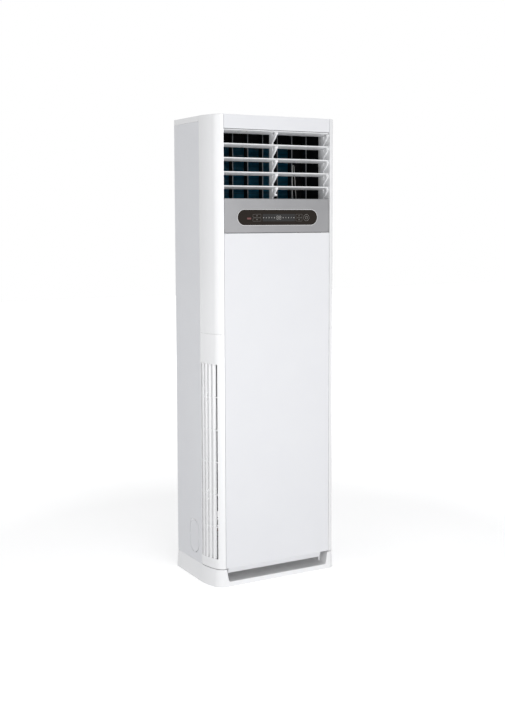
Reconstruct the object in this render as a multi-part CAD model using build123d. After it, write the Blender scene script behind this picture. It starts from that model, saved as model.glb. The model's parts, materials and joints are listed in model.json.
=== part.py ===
from build123d import *
import math
import os

# Floor standing air conditioner, millimetres, +X to the right as seen from the front,
# +Y from the front plane into the cabinet, +Z up, origin on the floor under the middle.

# ---------------------------------------------------------------- driving sizes
HEIGHT = 1780.0             # floor to the top of the cabinet
WIDTH = 556.0               # across the side panels
DEPTH = 330.0               # front plane to the rear edges
FRAME_DEPTH = 110.0         # front plane to the rear edge of the moulded front frame
BIG_CORNER_R = 212.0        # large corner arc, which starts at the side panel
CORNER_TURN = 23.5          # degrees that it turns before the small arc begins
PILLAR_WIDTH = 47.5         # cabinet's side to the inner edge of a front pillar
GROOVE_GAP = 1.5            # groove between a pillar and the panels
SEAM = 0.5                  # joint line between two fixed covers
FIT = 0.3                   # running room between a moving piece and a fixed one
TOUCH = 0.05                # radial room between a pin and its hole
MOULD_WALL = 3.0            # wall of the plastic mouldings
SHEET = 1.2                 # sheet steel
EDGE_R = 2.0                # rounding of the outer top edges
LAP = 1.0                   # how far a cut runs past a surface, or one form into the next

# heights, from the floor up or from the top down
BASE_TOP = 68.0
BASE_GAP = 2.5              # shadow gap under the pillars
BASE_FLARE = 5.0            # how much wider each side of the base is at the floor
CAP_SKIRT = 21.0            # height of the top cover's rim
HEADER_HEIGHT = 51.5
OUTLET_HEIGHT = 255.5
BAND_HEIGHT = 129.0
SPLIT_BELOW_BAND = 375.0    # band to the seam between the upper frame and the intake grille

# front panels
PANEL_WALL = 3.0
PANEL_FLANGE = 8.0          # depth of the panels' side returns
PANEL_BOTTOM = 73.0
LIP_DEPTH = 8.0             # how far the bottom lip of the front panel leans inward
LIP_DROP = 20.5             # how far it reaches down
LIP_NOTCH = 24.0            # room for a hand at its right end
LIP_ROOM = 4.0              # room between its left end and the toe recess's side
LIP_TAB_WIDTH = 4.0         # tab that hangs from its right end
LIP_TAB_DROP = 15.0
BAND_SET_BACK = 0.8         # the band lies this far behind the front plane
BAND_BEVEL = 1.6
SHELF_WIDTH = 14.0          # rebate of the pillars on which the panels sit
PILLAR_FLANGE = 12.0        # depth of the pillar's return beside the groove
OUTLET_WALL = 83.0          # depth of the white side walls of the air outlet
PILLAR_REAR_FLANGE = 14.0

# display
PILL_LENGTH = 350.0
PILL_HEIGHT = 61.0
PILL_DROP = 6.0             # middle of the display below the middle of the band
PILL_RIM = 1.6
LENS_WALL = 2.5
BOARD_LENGTH = 300.0
BOARD_HEIGHT = 46.0
BOARD_WALL = 1.6
LED_WIDTH = 140.0
LED_HEIGHT = 28.0

# horizontal louvers
LOUVER_COUNT = 5
LOUVER_TOP_GAP = 2.6        # opening's top edge to the first blade's front edge
LOUVER_BOTTOM_GAP = 45.9    # last blade's front edge to the opening's bottom edge
LOUVER_FRONT_GAP = 6.0      # front plane to the blades' noses
LOUVER_CHORD = 55.0
LOUVER_TILT = 10.2          # degrees, the rear edge lies lower
LOUVER_NOSE = 4.4           # thickness at the front
LOUVER_TAIL = 2.0           # thickness at the rear
LOUVER_END_GAP = 1.5        # wall to the blade's end
LOUVER_CORNER_R = 5.0       # rounding of a blade's front corners, seen from above
NOSE_ROOM = 5.0             # room above the opening for the first blade's rising nose
LUG_WALL = 2.2
LUG_R = 4.4
LUG_GAP = 0.8               # end support to the lug beside it
PIVOT_DROP = 8.5            # pivot below the blade's nose
PIVOT_BACK = 9.0            # pivot behind the blade's nose
PIVOT_R = 1.8
ARM_WALL = 6.5              # thickness of the middle support across the cabinet
END_ARM_WALL = 3.7          # thickness of the two end supports
ARM_TIP_R = 5.6
ARM_TIP_TURN = 30.0         # degrees between the arm's edges at its tip and the level
ARM_ROOT_LOW = 0.62         # lower end of an arm's root below its pivot, in louver pitches
ARM_ROOT_HIGH = 0.30        # upper end of it
ARM_SAG_LOW = 0.36          # middle of the arm's lower edge, in the same measure
ARM_SAG_HIGH = 0.14         # middle of its upper edge
ARM_BEND_LOW = 10.0         # how far behind the pivot the lower edge's middle lies
ARM_BEND_HIGH = 15.0        # and the upper edge's
POST_BACK = 41.0            # front plane to the front edge of the supports' posts
POST_DEPTH = 22.0
KNOB_R = 4.5                # stop knob below the last arm
KNOB_BELOW = 0.45           # its place below the last pivot, in louver pitches
FOOT_HALF = 10.8            # half width of the middle post's foot
LINK_FROM_WALL = 15.0       # wall to the middle of the louver link bar
LINK_ARM = 38.0             # pivot to the link pin
LINK_PIN_R = 1.4
LINK_LUG_R = 3.4
LINK_NOTCH = 14.0           # room in the blades in front of the link pins, for the leaning bar
LINK_BAR_WIDTH = 6.0
LINK_BAR_WALL = 2.0

# vertical vanes
VANE_COUNT = 7
VANE_SIDE_GAP = 34.3        # outlet's side wall to the first vane
VANE_FRONT_GAP = 119.0      # front plane to the vanes' front edges
VANE_CHORD = 32.0
VANE_WALL = 1.6
VANE_BEAD_R = 1.9
VANE_AXIS_BACK = 15.0       # vane front edge to its pivot
VANE_PIN_R = 2.0
VANE_CRANK_ARM = 12.0
VANE_LINK_WIDTH = 7.0
VANE_LINK_WALL = 2.4
VANE_CLEAR = 1.6            # room above and below the vanes
DUCT_SINK = 11.0            # the outlet duct's floor lies this far below the opening
DUCT_RISE = 5.5             # and its ceiling this far above it
DUCT_REAR = 4.0             # rear edge of the duct, behind the middle plane
STEPPER_R = 14.0
STEPPER_HEIGHT = 19.0
STEPPER_SHAFT_R = 2.5
STEPPER_EAR_REACH = 17.5
CRANK_WALL = 2.4
CRANK_HUB_R = 4.0
CRANK_END_R = 3.0

# intake grilles and filters
GRILLE_BOTTOM = 108.5
GRILLE_BELOW_SPLIT = 114.0  # seam above the grille to its first opening
GRILLE_RIBS = 5
GRILLE_RIB = 3.0
GRILLE_EDGE = 4.0           # frame rear edge to the grille's opening
SLOT_REAR = 6.0             # the first slot, behind the first slat
SLAT_COUNT = 4
SLAT_PITCH = 19.0           # along the depth
SLAT_SIDE = 10.0            # width of a slat's face that looks to the side
SLAT_FRONT = 12.0           # width of its face that looks to the front
SLAT_WALL = 2.2
SLAT_SET_IN = 0.2           # the slats' edges lie this far inside the corner's skin
SLAT_TURN = 15.0            # degrees that the front faces turn to the side
SLOT_DARK = 8.0             # the last slot, beside the pillar's front
CATCH_R = 5.0               # thumb catches in the slots
CATCH_PITCH = 34.0
CATCH_BELOW_TOP = 126.0     # grille's top to the middle of the upper pair
CATCH_LOW = 353.0
FILTER_WALL = 3.2
FILTER_RIM = 6.0
FILTER_BEHIND = 17.0        # room between the grille's outside and the filter
FILTER_CELLS = 24
FILTER_COLUMNS = 3
FILTER_BAR = 1.6

# sides, rear and top
SIDE_FLANGE = 16.0
REAR_RECESS = 6.0           # the rear panel lies this far inside the side panels' edges
KNOCKOUT_WIDTH = 80.0
KNOCKOUT_HEIGHT = 132.0
KNOCKOUT_Y = 12.0
KNOCKOUT_Z = 164.0
KNOCKOUT_CUT = 2.0
KNOCKOUT_BRIDGE = 8.0
PORT_X = -150.0             # pipe port in the rear panel
PORT_Z = 164.0
PORT_LENGTH = 150.0
PORT_HEIGHT = 80.0
PORT_CORNER_R = 12.0
COVER_MARGIN = 36.0         # width of the removable pipe cover round the port
GROMMET_LIP = 4.0
GROMMET_WALL = 1.5
GLAND_X = 150.0
GLAND_Z = 164.0
GLAND_R = 14.0
GLAND_BORE_R = 6.5
RIB_COUNT = 6
RIB_LENGTH = 380.0
RIB_HEIGHT = 10.0
BRACKET_HALF = 60.0
BRACKET_HEIGHT = 60.0
BRACKET_WALL = 3.0
BRACKET_HOLE_R = 4.5
BRACKET_HOLE_PITCH = 80.0
BRACKET_BELOW_TOP = 90.0
SCREW_R = 3.6
SCREW_HEAD = 2.0
SCREW_SHANK_R = 1.9
SCREW_SHANK = 9.0
REAR_SCREW_ROWS = 5

# base
RECESS_SIDE = 52.0          # cabinet's side to the top of the toe recess
RECESS_SLOPE = 9.0          # how much each side of the recess runs in towards its floor
RECESS_FLOOR = 19.0
RECESS_DEPTH = 115.0
RECESS_R = 10.0
PAN_WALL = 1.5
PAN_HEIGHT = 95.0
ANCHOR_R = 6.0
ANCHOR_SIDE = 58.0          # cabinet's side to the floor anchor holes
ANCHOR_Y = 140.0            # their spacing along the depth
ANCHOR_MIDDLE_Y = 45.0

# heat exchanger and its chamber
PARTITION_BELOW = 164.0     # partition below the front panel's top edge
INSULATION = 8.0
COIL_TILT = 12.0            # degrees, the top leans to the rear
COIL_SIDE = 82.0            # cabinet's side to the end of the fins
COIL_FRONT = 4.0           # lower front edge, behind the middle plane
COIL_TOP_GAP = 62.0         # cabinet top to the coil's upper edge
TUBE_PITCH = 25.4
TUBE_ROW_PITCH = 22.0
TUBE_ROWS = 2
TUBE_STAGGER = 0.25         # shift of a row up or down, in tube pitches
TUBE_R = 4.8
TUBE_END = 14.0             # straight tube outside the fins before a bend
END_PLATE = 1.5
HEADER_WALL = 1.0           # a header's radius over its pipe's
HEADER_STUB = 16.0          # header's middle to the end of its outlet stub
BRAZE_STEP = 0.5            # how much thinner a header's stubs are than the coil's tubes
PIPE_ROOM = 1.0             # room round a pipe that passes a sheet
PAN_TRAY_WALL = 2.5
PAN_TRAY_HEIGHT = 26.0
PAN_TRAY_FRONT = -25.0
PAN_TRAY_REAR = 76.0
PAN_ABOVE_PARTITION = 52.0
COIL_ABOVE_TRAY = 0.4
DRAIN_R = 10.0
DRAIN_BORE_R = 8.0
DRAIN_SIDE = 42.0           # cabinet's side to the drain spout
DRAIN_Y = 60.0

# blower
SCROLL_FRONT = 18.0
SCROLL_DEPTH = 124.0
SCROLL_R = 160.0            # first quarter of the spiral
SCROLL_STEP = 22.0          # each next quarter is this much larger
SCROLL_X = 30.0
SCROLL_Z = 640.0
SCROLL_TONGUE_R = 16.0
SCROLL_WALL = 1.5
WHEEL_R = 140.0
WHEEL_EYE_R = 118.0
WHEEL_WIDTH = 104.0
WHEEL_WALL = 1.6
BLADE_COUNT = 36
BLADE_WALL = 0.8
BLADE_HALF = 9.5            # half the chord of a wheel blade
BLADE_BOW = 2.85            # rise of its middle
BLADE_LEAN = 35.0           # degrees from the radius
BELL_R = 112.0
BELL_FLARE = 20.0
CUP_R = 80.0
CUP_DEPTH = 64.0
HUB_R = 16.0
SHAFT_R = 6.35
SHAFT_NUT_R = 10.8
MOTOR_R = 64.0
MOTOR_DEPTH = 56.0
MOTOR_FLANGE_R = 74.0
MOTOR_FLANGE = 3.0
MOTOR_STEP = 6.4            # steps of the motor's end bell
BOLT_CIRCLE_R = 90.0
BRACKET_RING_R = 104.0
MOTOR_BRACKET = 2.5
BRACKET_EYE_R = 44.4
BRACKET_POSTS = 4
BRACKET_POST_R = 7.2
SCROLL_FOOT_IN = 128.0      # inner ends of the scroll's feet, from the middle
SCROLL_FOOT_HEIGHT = 48.0

# electrical parts
BOX_HALF = 150.0
BOX_BOTTOM_BELOW = 265.0    # partition to the bottom of the electrical box
BOX_HEIGHT = 215.0
BOX_DEPTH = 84.0
BULKHEAD_Y = -55.0
BULKHEAD_DROP = 290.0
MAIN_BOARD_LENGTH = 170.0
MAIN_BOARD_HEIGHT = 120.0
BOARD_STAND = 8.0
TERMINAL_LENGTH = 84.0
TERMINAL_HEIGHT = 30.0
TERMINAL_DEPTH = 22.0
TERMINAL_WAYS = 6
RELAY_COUNT = 5
CAPACITOR_R = 17.0
CAPACITOR_LENGTH = 62.0

# refrigerant pipes
GAS_R = 7.94
LIQUID_R = 4.76
PIPE_SIDE = 31.0            # cabinet's side to the pipes' upright runs
LIQUID_Y = 88.0             # depth of the liquid pipe's long upright run
PIPE_BEND_TOP = 500.0       # the pipes lean forward between these heights
PIPE_BEND_LOW = 260.0
GAS_LOW_Y = 66.0
LIQUID_LOW_Y = 34.0
PORT_SPREAD = 34.0          # spacing of the two pipes and the hose in the port
FLARE_END = 146.0          # the fittings end here, just inside the rear port
FLARE_LENGTH = 16.0
GAS_THREAD_R = 11.1
LIQUID_THREAD_R = 7.95
NUT_LENGTH = 18.0
NUT_SPREAD = 1.35           # corner radius of a nut over its thread's radius

# ---------------------------------------------------------------- places worked out
HALF = WIDTH / 2
FRONT = -DEPTH / 2
REAR = DEPTH / 2
FRAME_REAR = FRONT + FRAME_DEPTH
GROOVE_HALF = HALF - PILLAR_WIDTH
PANEL_HALF = GROOVE_HALF - GROOVE_GAP
PILLAR_BOTTOM = BASE_TOP + BASE_GAP
OUTLET_TOP = HEIGHT - HEADER_HEIGHT
OUTLET_BOTTOM = OUTLET_TOP - OUTLET_HEIGHT
PANEL_TOP = OUTLET_BOTTOM - BAND_HEIGHT
PILLAR_SPLIT = PANEL_TOP - SPLIT_BELOW_BAND
GRILLE_TOP = PILLAR_SPLIT - GRILLE_BELOW_SPLIT
CATCH_HIGH = GRILLE_TOP - CATCH_BELOW_TOP
PILL_Z = (OUTLET_BOTTOM + PANEL_TOP) / 2 - PILL_DROP
CAP_BOTTOM = HEIGHT - CAP_SKIRT
SHELF_FRONT = FRONT + PANEL_FLANGE
SIDE_INNER = HALF - SHEET
REAR_FACE = REAR - REAR_RECESS
RECESS_TOP_HALF = HALF - RECESS_SIDE
RECESS_FLOOR_HALF = RECESS_TOP_HALF - RECESS_SLOPE
ANCHOR_X = WIDTH - 2 * ANCHOR_SIDE

# The small corner arc runs on from the large one and ends where the groove begins.
ARC_END_X = -HALF + BIG_CORNER_R * (1 - math.cos(math.radians(CORNER_TURN)))
ARC_END_Y = FRAME_REAR - BIG_CORNER_R * math.sin(math.radians(CORNER_TURN))
CHORD_TURN = math.degrees(math.atan2(-GROOVE_HALF - ARC_END_X, ARC_END_Y - FRONT))
SMALL_SWEEP = 2 * (CHORD_TURN - CORNER_TURN)
SMALL_CHORD = math.dist((ARC_END_X, ARC_END_Y), (-GROOVE_HALF, FRONT))
SMALL_CORNER_R = SMALL_CHORD / (2 * math.sin(math.radians(SMALL_SWEEP / 2)))
SMALL_X = ARC_END_X + SMALL_CORNER_R * math.cos(math.radians(CORNER_TURN))
SMALL_Y = ARC_END_Y + SMALL_CORNER_R * math.sin(math.radians(CORNER_TURN))

LOUVER_PITCH = (OUTLET_HEIGHT - LOUVER_TOP_GAP - LOUVER_BOTTOM_GAP) / (LOUVER_COUNT - 1)
LOUVER_NOSE_Y = FRONT + LOUVER_FRONT_GAP
PIVOT_Y = LOUVER_NOSE_Y + PIVOT_BACK
POST_FRONT = FRONT + POST_BACK
LINK_X = -(GROOVE_HALF - LINK_FROM_WALL)
LINK_DIP = LINK_ARM * math.tan(math.radians(LOUVER_TILT))

DUCT_FRONT = FRONT + OUTLET_WALL + SEAM
DUCT_FLOOR = OUTLET_BOTTOM - DUCT_SINK
DUCT_CEILING = OUTLET_TOP + DUCT_RISE
VANE_FRONT = FRONT + VANE_FRONT_GAP
VANE_AXIS = VANE_FRONT + VANE_AXIS_BACK
VANE_LINK_BOTTOM = DUCT_FLOOR + FIT
VANE_BOTTOM = VANE_LINK_BOTTOM + VANE_LINK_WALL + CRANK_WALL + VANE_CLEAR
VANE_TOP = DUCT_CEILING - VANE_CLEAR
VANE_PITCH = 2 * (GROOVE_HALF - VANE_SIDE_GAP) / (VANE_COUNT - 1)
CRANK_X = VANE_PITCH / 2

PARTITION_Z = PANEL_TOP - PARTITION_BELOW
TRAY_BOTTOM = PARTITION_Z + PAN_ABOVE_PARTITION
TRAY_TOP = TRAY_BOTTOM + PAN_TRAY_HEIGHT
COIL_THICK = TUBE_ROWS * TUBE_ROW_PITCH
COIL_HALF = HALF - COIL_SIDE
PIPE_X = -(HALF - PIPE_SIDE)
DRAIN_X = HALF - DRAIN_SIDE
GAS_X = PORT_X - PORT_SPREAD
LIQUID_X = PORT_X
DRAIN_END_X = PORT_X + PORT_SPREAD
CHAMBER_HALF = SIDE_INNER - INSULATION
CHAMBER_REAR = REAR_FACE - SHEET - INSULATION
TILT = math.radians(COIL_TILT)
COIL_BOTTOM = TRAY_BOTTOM + PAN_TRAY_WALL + COIL_ABOVE_TRAY + COIL_THICK * math.sin(TILT)
COIL_ROOM = (HEIGHT - COIL_TOP_GAP - COIL_BOTTOM) / math.cos(TILT) - COIL_THICK * math.tan(TILT)
TUBE_LEVELS = int(COIL_ROOM / TUBE_PITCH)
COIL_LENGTH = TUBE_LEVELS * TUBE_PITCH

SCROLL_REAR = SCROLL_FRONT + SCROLL_DEPTH
WHEEL_X = SCROLL_X - SCROLL_STEP / 2
WHEEL_Z = SCROLL_Z + SCROLL_STEP / 2
WHEEL_FRONT = SCROLL_FRONT + (SCROLL_DEPTH - WHEEL_WIDTH) / 2
WHEEL_REAR = WHEEL_FRONT + WHEEL_WIDTH
CUP_FRONT = WHEEL_REAR - CUP_DEPTH
MOTOR_FRONT = SCROLL_REAR - MOTOR_DEPTH
BOX_BOTTOM = PARTITION_Z - BOX_BOTTOM_BELOW
BOX_TOP = BOX_BOTTOM + BOX_HEIGHT
BOX_REAR = BULKHEAD_Y - SHEET
BOX_FRONT = BOX_REAR - BOX_DEPTH


# ---------------------------------------------------------------- small helpers
def block(x0, x1, y0, y1, z0, z1):
    """A box between two corners."""
    return Pos((x0 + x1) / 2, (y0 + y1) / 2, (z0 + z1) / 2) * Box(x1 - x0, y1 - y0, z1 - z0)


def rod_x(y, z, radius, x0, x1):
    """A round bar along X."""
    return Pos((x0 + x1) / 2, y, z) * Rot(0, 90, 0) * Cylinder(radius, x1 - x0)


def rod_y(x, z, radius, y0, y1):
    """A round bar along Y."""
    return Pos(x, (y0 + y1) / 2, z) * Rot(90, 0, 0) * Cylinder(radius, y1 - y0)


def rod_z(x, y, radius, z0, z1):
    """A round bar along Z."""
    return Pos(x, y, (z0 + z1) / 2) * Cylinder(radius, z1 - z0)


def slab_x(sketch, x0, x1):
    """A sketch drawn in Y and Z, thickened from x0 to x1."""
    return extrude(Plane.YZ.offset(x0) * sketch, amount=x1 - x0)


def slab_y(sketch, y0, y1):
    """A sketch drawn in X and Z, thickened from y0 to y1."""
    plane = Plane(origin=(0, y1, 0), x_dir=(1, 0, 0), z_dir=(0, -1, 0))
    return extrude(plane * sketch, amount=y1 - y0)


def slab_z(sketch, z0, z1):
    """A sketch drawn in X and Y, thickened from z0 to z1."""
    return extrude(Plane.XY.offset(z0) * sketch, amount=z1 - z0)


def flip(shape):
    """The same shape on the other side of the cabinet."""
    return mirror(shape, about=Plane.YZ)


def group(pieces):
    """Several separate solids that share one node."""
    solids = []
    for piece in pieces:
        solids.extend(piece.solids())
    return Compound(children=solids)


def rectangle(x0, x1, y0, y1):
    """A rectangle between two corners of its sketch."""
    return Pos((x0 + x1) / 2, (y0 + y1) / 2) * Rectangle(x1 - x0, y1 - y0)


def footprint(inset=0.0, half=HALF, rear=REAR):
    """The cabinet's outline from above: two tangent arcs at each front corner."""
    big = CenterArc((-half + BIG_CORNER_R, FRAME_REAR), BIG_CORNER_R - inset, 180, CORNER_TURN)
    small = CenterArc((SMALL_X + HALF - half, SMALL_Y), SMALL_CORNER_R - inset, 180 + CORNER_TURN,
                      SMALL_SWEEP)
    end = small @ 1
    left = -half + inset
    edges = [big, small, flip(big), flip(small)]
    edges.append(Line((end.X, end.Y), (-end.X, end.Y)))
    edges.append(Line((left, FRAME_REAR), (left, rear - inset)))
    edges.append(Line((-left, FRAME_REAR), (-left, rear - inset)))
    edges.append(Line((left, rear - inset), (-left, rear - inset)))
    return make_face(edges)


def outer_point(depth_y):
    """Where the left front corner's skin lies at a given depth."""
    if depth_y < ARC_END_Y:
        return SMALL_X - math.sqrt(SMALL_CORNER_R ** 2 - (SMALL_Y - depth_y) ** 2)
    return -HALF + BIG_CORNER_R - math.sqrt(BIG_CORNER_R ** 2 - (FRAME_REAR - depth_y) ** 2)


def pill(length, height, z):
    """A stadium in X and Z."""
    return Pos(0, z) * SlotOverall(length, height)


def screw_y(x, y, z):
    """A pan head screw whose head looks to the rear."""
    head = rod_y(x, z, SCREW_R, y, y + SCREW_HEAD)
    shank = rod_y(x, z, SCREW_SHANK_R, y - SCREW_SHANK, y)
    return head + shank


# ---------------------------------------------------------------- base
def base_skirt():
    """Plastic plinth with the toe recess in its front."""
    floor_line = Plane.XY * footprint(half=HALF + BASE_FLARE)
    top_line = Plane.XY.offset(BASE_TOP) * footprint()
    outside = loft([floor_line.face(), top_line.face()], ruled=True)
    floor_inner = Plane.XY * footprint(MOULD_WALL, half=HALF + BASE_FLARE)
    top_inner = Plane.XY.offset(BASE_TOP) * footprint(MOULD_WALL)
    inside = loft([floor_inner.face(), top_inner.face()], ruled=True)
    liner = block(-RECESS_TOP_HALF - MOULD_WALL, RECESS_TOP_HALF + MOULD_WALL,
                  FRONT, FRONT + RECESS_DEPTH + MOULD_WALL, RECESS_FLOOR - MOULD_WALL, BASE_TOP)
    return (outside - inside) + (liner & outside) - recess_room()


def recess_half(z):
    """Half width of the toe recess at a height."""
    share = (z - RECESS_FLOOR) / (BASE_TOP - RECESS_FLOOR)
    return RECESS_FLOOR_HALF + share * RECESS_SLOPE


def recess_room():
    """The toe recess: a trapezoid that narrows to a rounded floor."""
    corners = [(-RECESS_TOP_HALF, BASE_TOP), (-RECESS_FLOOR_HALF, RECESS_FLOOR),
               (RECESS_FLOOR_HALF, RECESS_FLOOR), (RECESS_TOP_HALF, BASE_TOP)]
    outline = make_face(Polyline(*corners, close=True))
    low = outline.vertices().sort_by(Axis.Y)[:2]
    return slab_y(fillet(low, RECESS_R), FRONT, FRONT + RECESS_DEPTH)


def base_pan():
    """Steel tray with upright walls and four floor anchor holes."""
    rear_y = REAR_FACE - SHEET - SEAM
    inside_skirt = MOULD_WALL + FIT
    plate = slab_z(footprint(inside_skirt, rear=rear_y + inside_skirt), 0, PAN_WALL)
    side = HALF - inside_skirt
    walls = []
    for sign in (-1, 1):
        outer = sign * side
        inner = sign * (side - PAN_WALL)
        walls.append(block(min(outer, inner), max(outer, inner), FRAME_REAR + SIDE_FLANGE, rear_y,
                           0, PAN_HEIGHT))
    back = block(-side, side, rear_y - PAN_WALL, rear_y, 0, PAN_HEIGHT)
    tray = plate + walls[0] + walls[1] + back
    for x in (-ANCHOR_X / 2, ANCHOR_X / 2):
        for y in (ANCHOR_MIDDLE_Y - ANCHOR_Y / 2, ANCHOR_MIDDLE_Y + ANCHOR_Y / 2):
            tray -= rod_z(x, y, ANCHOR_R, -PAN_WALL, 2 * PAN_WALL)
    return tray


# ---------------------------------------------------------------- front frame and grilles
def pillar_section(flange):
    """Plan section of the left pillar: corner skin, groove return, shelf and rear flange."""
    skin = footprint() - footprint(MOULD_WALL)
    corner = skin & rectangle(-HALF, -GROOVE_HALF, FRONT, FRAME_REAR - FIT)
    inner = -GROOVE_HALF - MOULD_WALL
    groove = rectangle(inner, -GROOVE_HALF, FRONT, FRONT + flange) & footprint()
    rear = rectangle(-HALF, -HALF + PILLAR_REAR_FLANGE, FRAME_REAR - FIT - MOULD_WALL, FRAME_REAR - FIT)
    return corner + groove + rear


def shelf_section():
    """Plan section of the rebate behind the panels' edges."""
    inner = -GROOVE_HALF - MOULD_WALL
    return rectangle(inner, -GROOVE_HALF + SHELF_WIDTH, SHELF_FRONT, SHELF_FRONT + MOULD_WALL)


def upper_front_frame():
    """Both upper pillars with the outlet's side walls and the front strip of the top."""
    lower = slab_z(pillar_section(PILLAR_FLANGE) + shelf_section(), PILLAR_SPLIT, OUTLET_BOTTOM)
    wall_top = OUTLET_TOP + NOSE_ROOM
    middle = slab_z(pillar_section(OUTLET_WALL), OUTLET_BOTTOM, wall_top)
    upper = slab_z(pillar_section(PILLAR_FLANGE) + shelf_section(), wall_top, HEIGHT)
    left = lower + middle + upper
    plate = footprint() & rectangle(-HALF, HALF, FRONT, FRAME_REAR - FIT)
    top = slab_z(plate, HEIGHT - MOULD_WALL, HEIGHT)
    top -= block(-GROOVE_HALF, GROOVE_HALF, FRONT, FRONT + PANEL_WALL + SEAM,
                 HEIGHT - 2 * MOULD_WALL, HEIGHT + MOULD_WALL)
    rib = block(-GROOVE_HALF, GROOVE_HALF, SHELF_FRONT, SHELF_FRONT + MOULD_WALL,
                OUTLET_TOP + DUCT_RISE + MOULD_WALL + SEAM, HEIGHT - MOULD_WALL / 2)
    frame = left + flip(left) + top + rib
    return soften_top(frame)


def soften_top(solid):
    """Rounds the outer edges of a top surface, but not those on its inner seams."""
    edges = []
    for edge in solid.edges():
        box = edge.bounding_box()
        middle = edge.center()
        on_top = box.min.Z > HEIGHT - TOUCH
        on_side = abs(abs(middle.X) - HALF) < LAP and edge.length > SIDE_FLANGE
        on_rear = middle.Y > REAR - LAP
        beside = abs(middle.X) > GROOVE_HALF and middle.Y < FRAME_REAR - LAP
        on_corner = beside and edge.geom_type == GeomType.CIRCLE
        if on_top and (on_side or on_rear or on_corner):
            edges.append(edge)
    return fillet(edges, min(EDGE_R, MOULD_WALL - SEAM))


def slat_rear(index):
    """Depth of a grille slat's rear edge."""
    return FRAME_REAR - GRILLE_EDGE - SLOT_REAR - index * SLAT_PITCH


def slat_at(index):
    """Plan section of one grille slat: a side face, and a front face that turns in from its edge."""
    rear_y = slat_rear(index)
    front_y = rear_y - SLAT_SIDE
    edge_x = outer_point(front_y) + SLAT_SET_IN
    side_face = rectangle(edge_x, edge_x + SLAT_WALL, front_y, rear_y)
    front_face = Pos(edge_x, front_y) * Rot(0, 0, -SLAT_TURN) * rectangle(0, SLAT_FRONT, 0, SLAT_WALL)
    return side_face + front_face


def grille_room():
    """Plan section of the space that the slats fill."""
    front_y = slat_rear(SLAT_COUNT) - SLOT_DARK
    return rectangle(-HALF - MOULD_WALL, -GROOVE_HALF - 2 * MOULD_WALL, front_y, FRAME_REAR - GRILLE_EDGE)


def rib_at(z):
    """A flat cross rib that ties the slats together."""
    band = (footprint(SLAT_WALL) - footprint(3 * MOULD_WALL + SLAT_WALL)) & grille_room()
    return slab_z(band, z - GRILLE_RIB / 2, z + GRILLE_RIB / 2)


def catch_at(z):
    """A small round thumb catch in the slot between the second and third slats."""
    y = slat_rear(2) + CATCH_R - LAP
    return Pos(outer_point(y) + CATCH_R + SLAT_SET_IN, y, z) * Sphere(CATCH_R)


def intake_grille():
    """Left lower pillar with its slatted air intake."""
    top = PILLAR_SPLIT - SEAM
    body = slab_z(pillar_section(PILLAR_FLANGE), PILLAR_BOTTOM, top)
    body += slab_z(shelf_section(), PILLAR_BOTTOM, top)
    body -= slab_z(grille_room(), GRILLE_BOTTOM, GRILLE_TOP)
    for index in range(SLAT_COUNT):
        body += slab_z(slat_at(index), GRILLE_BOTTOM - LAP, GRILLE_TOP + LAP)
    pitch = (GRILLE_TOP - GRILLE_BOTTOM) / (GRILLE_RIBS + 1)
    for number in range(1, GRILLE_RIBS + 1):
        body += rib_at(GRILLE_BOTTOM + number * pitch)
    for middle in (CATCH_HIGH, CATCH_LOW):
        body += catch_at(middle - CATCH_PITCH / 2)
        body += catch_at(middle + CATCH_PITCH / 2)
    for z in (PILLAR_BOTTOM, top - MOULD_WALL):
        shelf = footprint(MOULD_WALL / 2) & rectangle(-HALF, -GROOVE_HALF - MOULD_WALL / 2, FRONT,
                                                      FRAME_REAR - FIT - MOULD_WALL / 2)
        body += slab_z(shelf, z, z + MOULD_WALL)
    return body


def filter_frame():
    """Left air filter: a flat frame with a coarse net, behind the slats."""
    rear = (outer_point(FRAME_REAR) + FILTER_BEHIND, FRAME_REAR - FIT - MOULD_WALL - SEAM)
    front_y = FRONT + PILLAR_FLANGE + MOULD_WALL
    front = (-GROOVE_HALF - MOULD_WALL - FILTER_WALL - FIT, front_y)
    length = math.dist(rear, front)
    angle = math.degrees(math.atan2(front[1] - rear[1], front[0] - rear[0]))
    bottom = PILLAR_BOTTOM + MOULD_WALL + FIT
    top = PILLAR_SPLIT - SEAM - MOULD_WALL - FIT
    plane = Plane.XY.offset(bottom) * Pos(*rear) * Rot(0, 0, angle)
    height = top - bottom
    frame = plane * (Pos(length / 2, FILTER_WALL / 2, height / 2) * Box(length, FILTER_WALL, height))
    wide = length - 2 * FILTER_RIM
    pitch = (height - 2 * FILTER_RIM) / FILTER_CELLS
    cell = (wide - (FILTER_COLUMNS - 1) * FILTER_BAR) / FILTER_COLUMNS
    holes = []
    for row in range(FILTER_CELLS):
        for column in range(FILTER_COLUMNS):
            x = FILTER_RIM + column * (cell + FILTER_BAR) + cell / 2
            z = FILTER_RIM + (row + 0.5) * pitch
            hole = Box(cell, 3 * FILTER_WALL, pitch - FILTER_BAR)
            holes.append(plane * (Pos(x, FILTER_WALL / 2, z) * hole))
    return frame - holes


# ---------------------------------------------------------------- front panels and display
def panel_shell(z0, z1, front_y, return_low, return_high):
    """A flat cover between the grooves with returns at its sides."""
    face = block(-PANEL_HALF, PANEL_HALF, front_y, front_y + PANEL_WALL, z0, z1)
    for sign in (-1, 1):
        outer = sign * PANEL_HALF
        inner = sign * (PANEL_HALF - PANEL_WALL)
        face += block(min(outer, inner), max(outer, inner), front_y, SHELF_FRONT - FIT,
                      return_low, return_high)
    return face


def header_panel():
    """Cover above the air outlet."""
    return panel_shell(OUTLET_TOP, HEIGHT, FRONT, OUTLET_TOP + NOSE_ROOM, HEIGHT - MOULD_WALL - SEAM)


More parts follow.
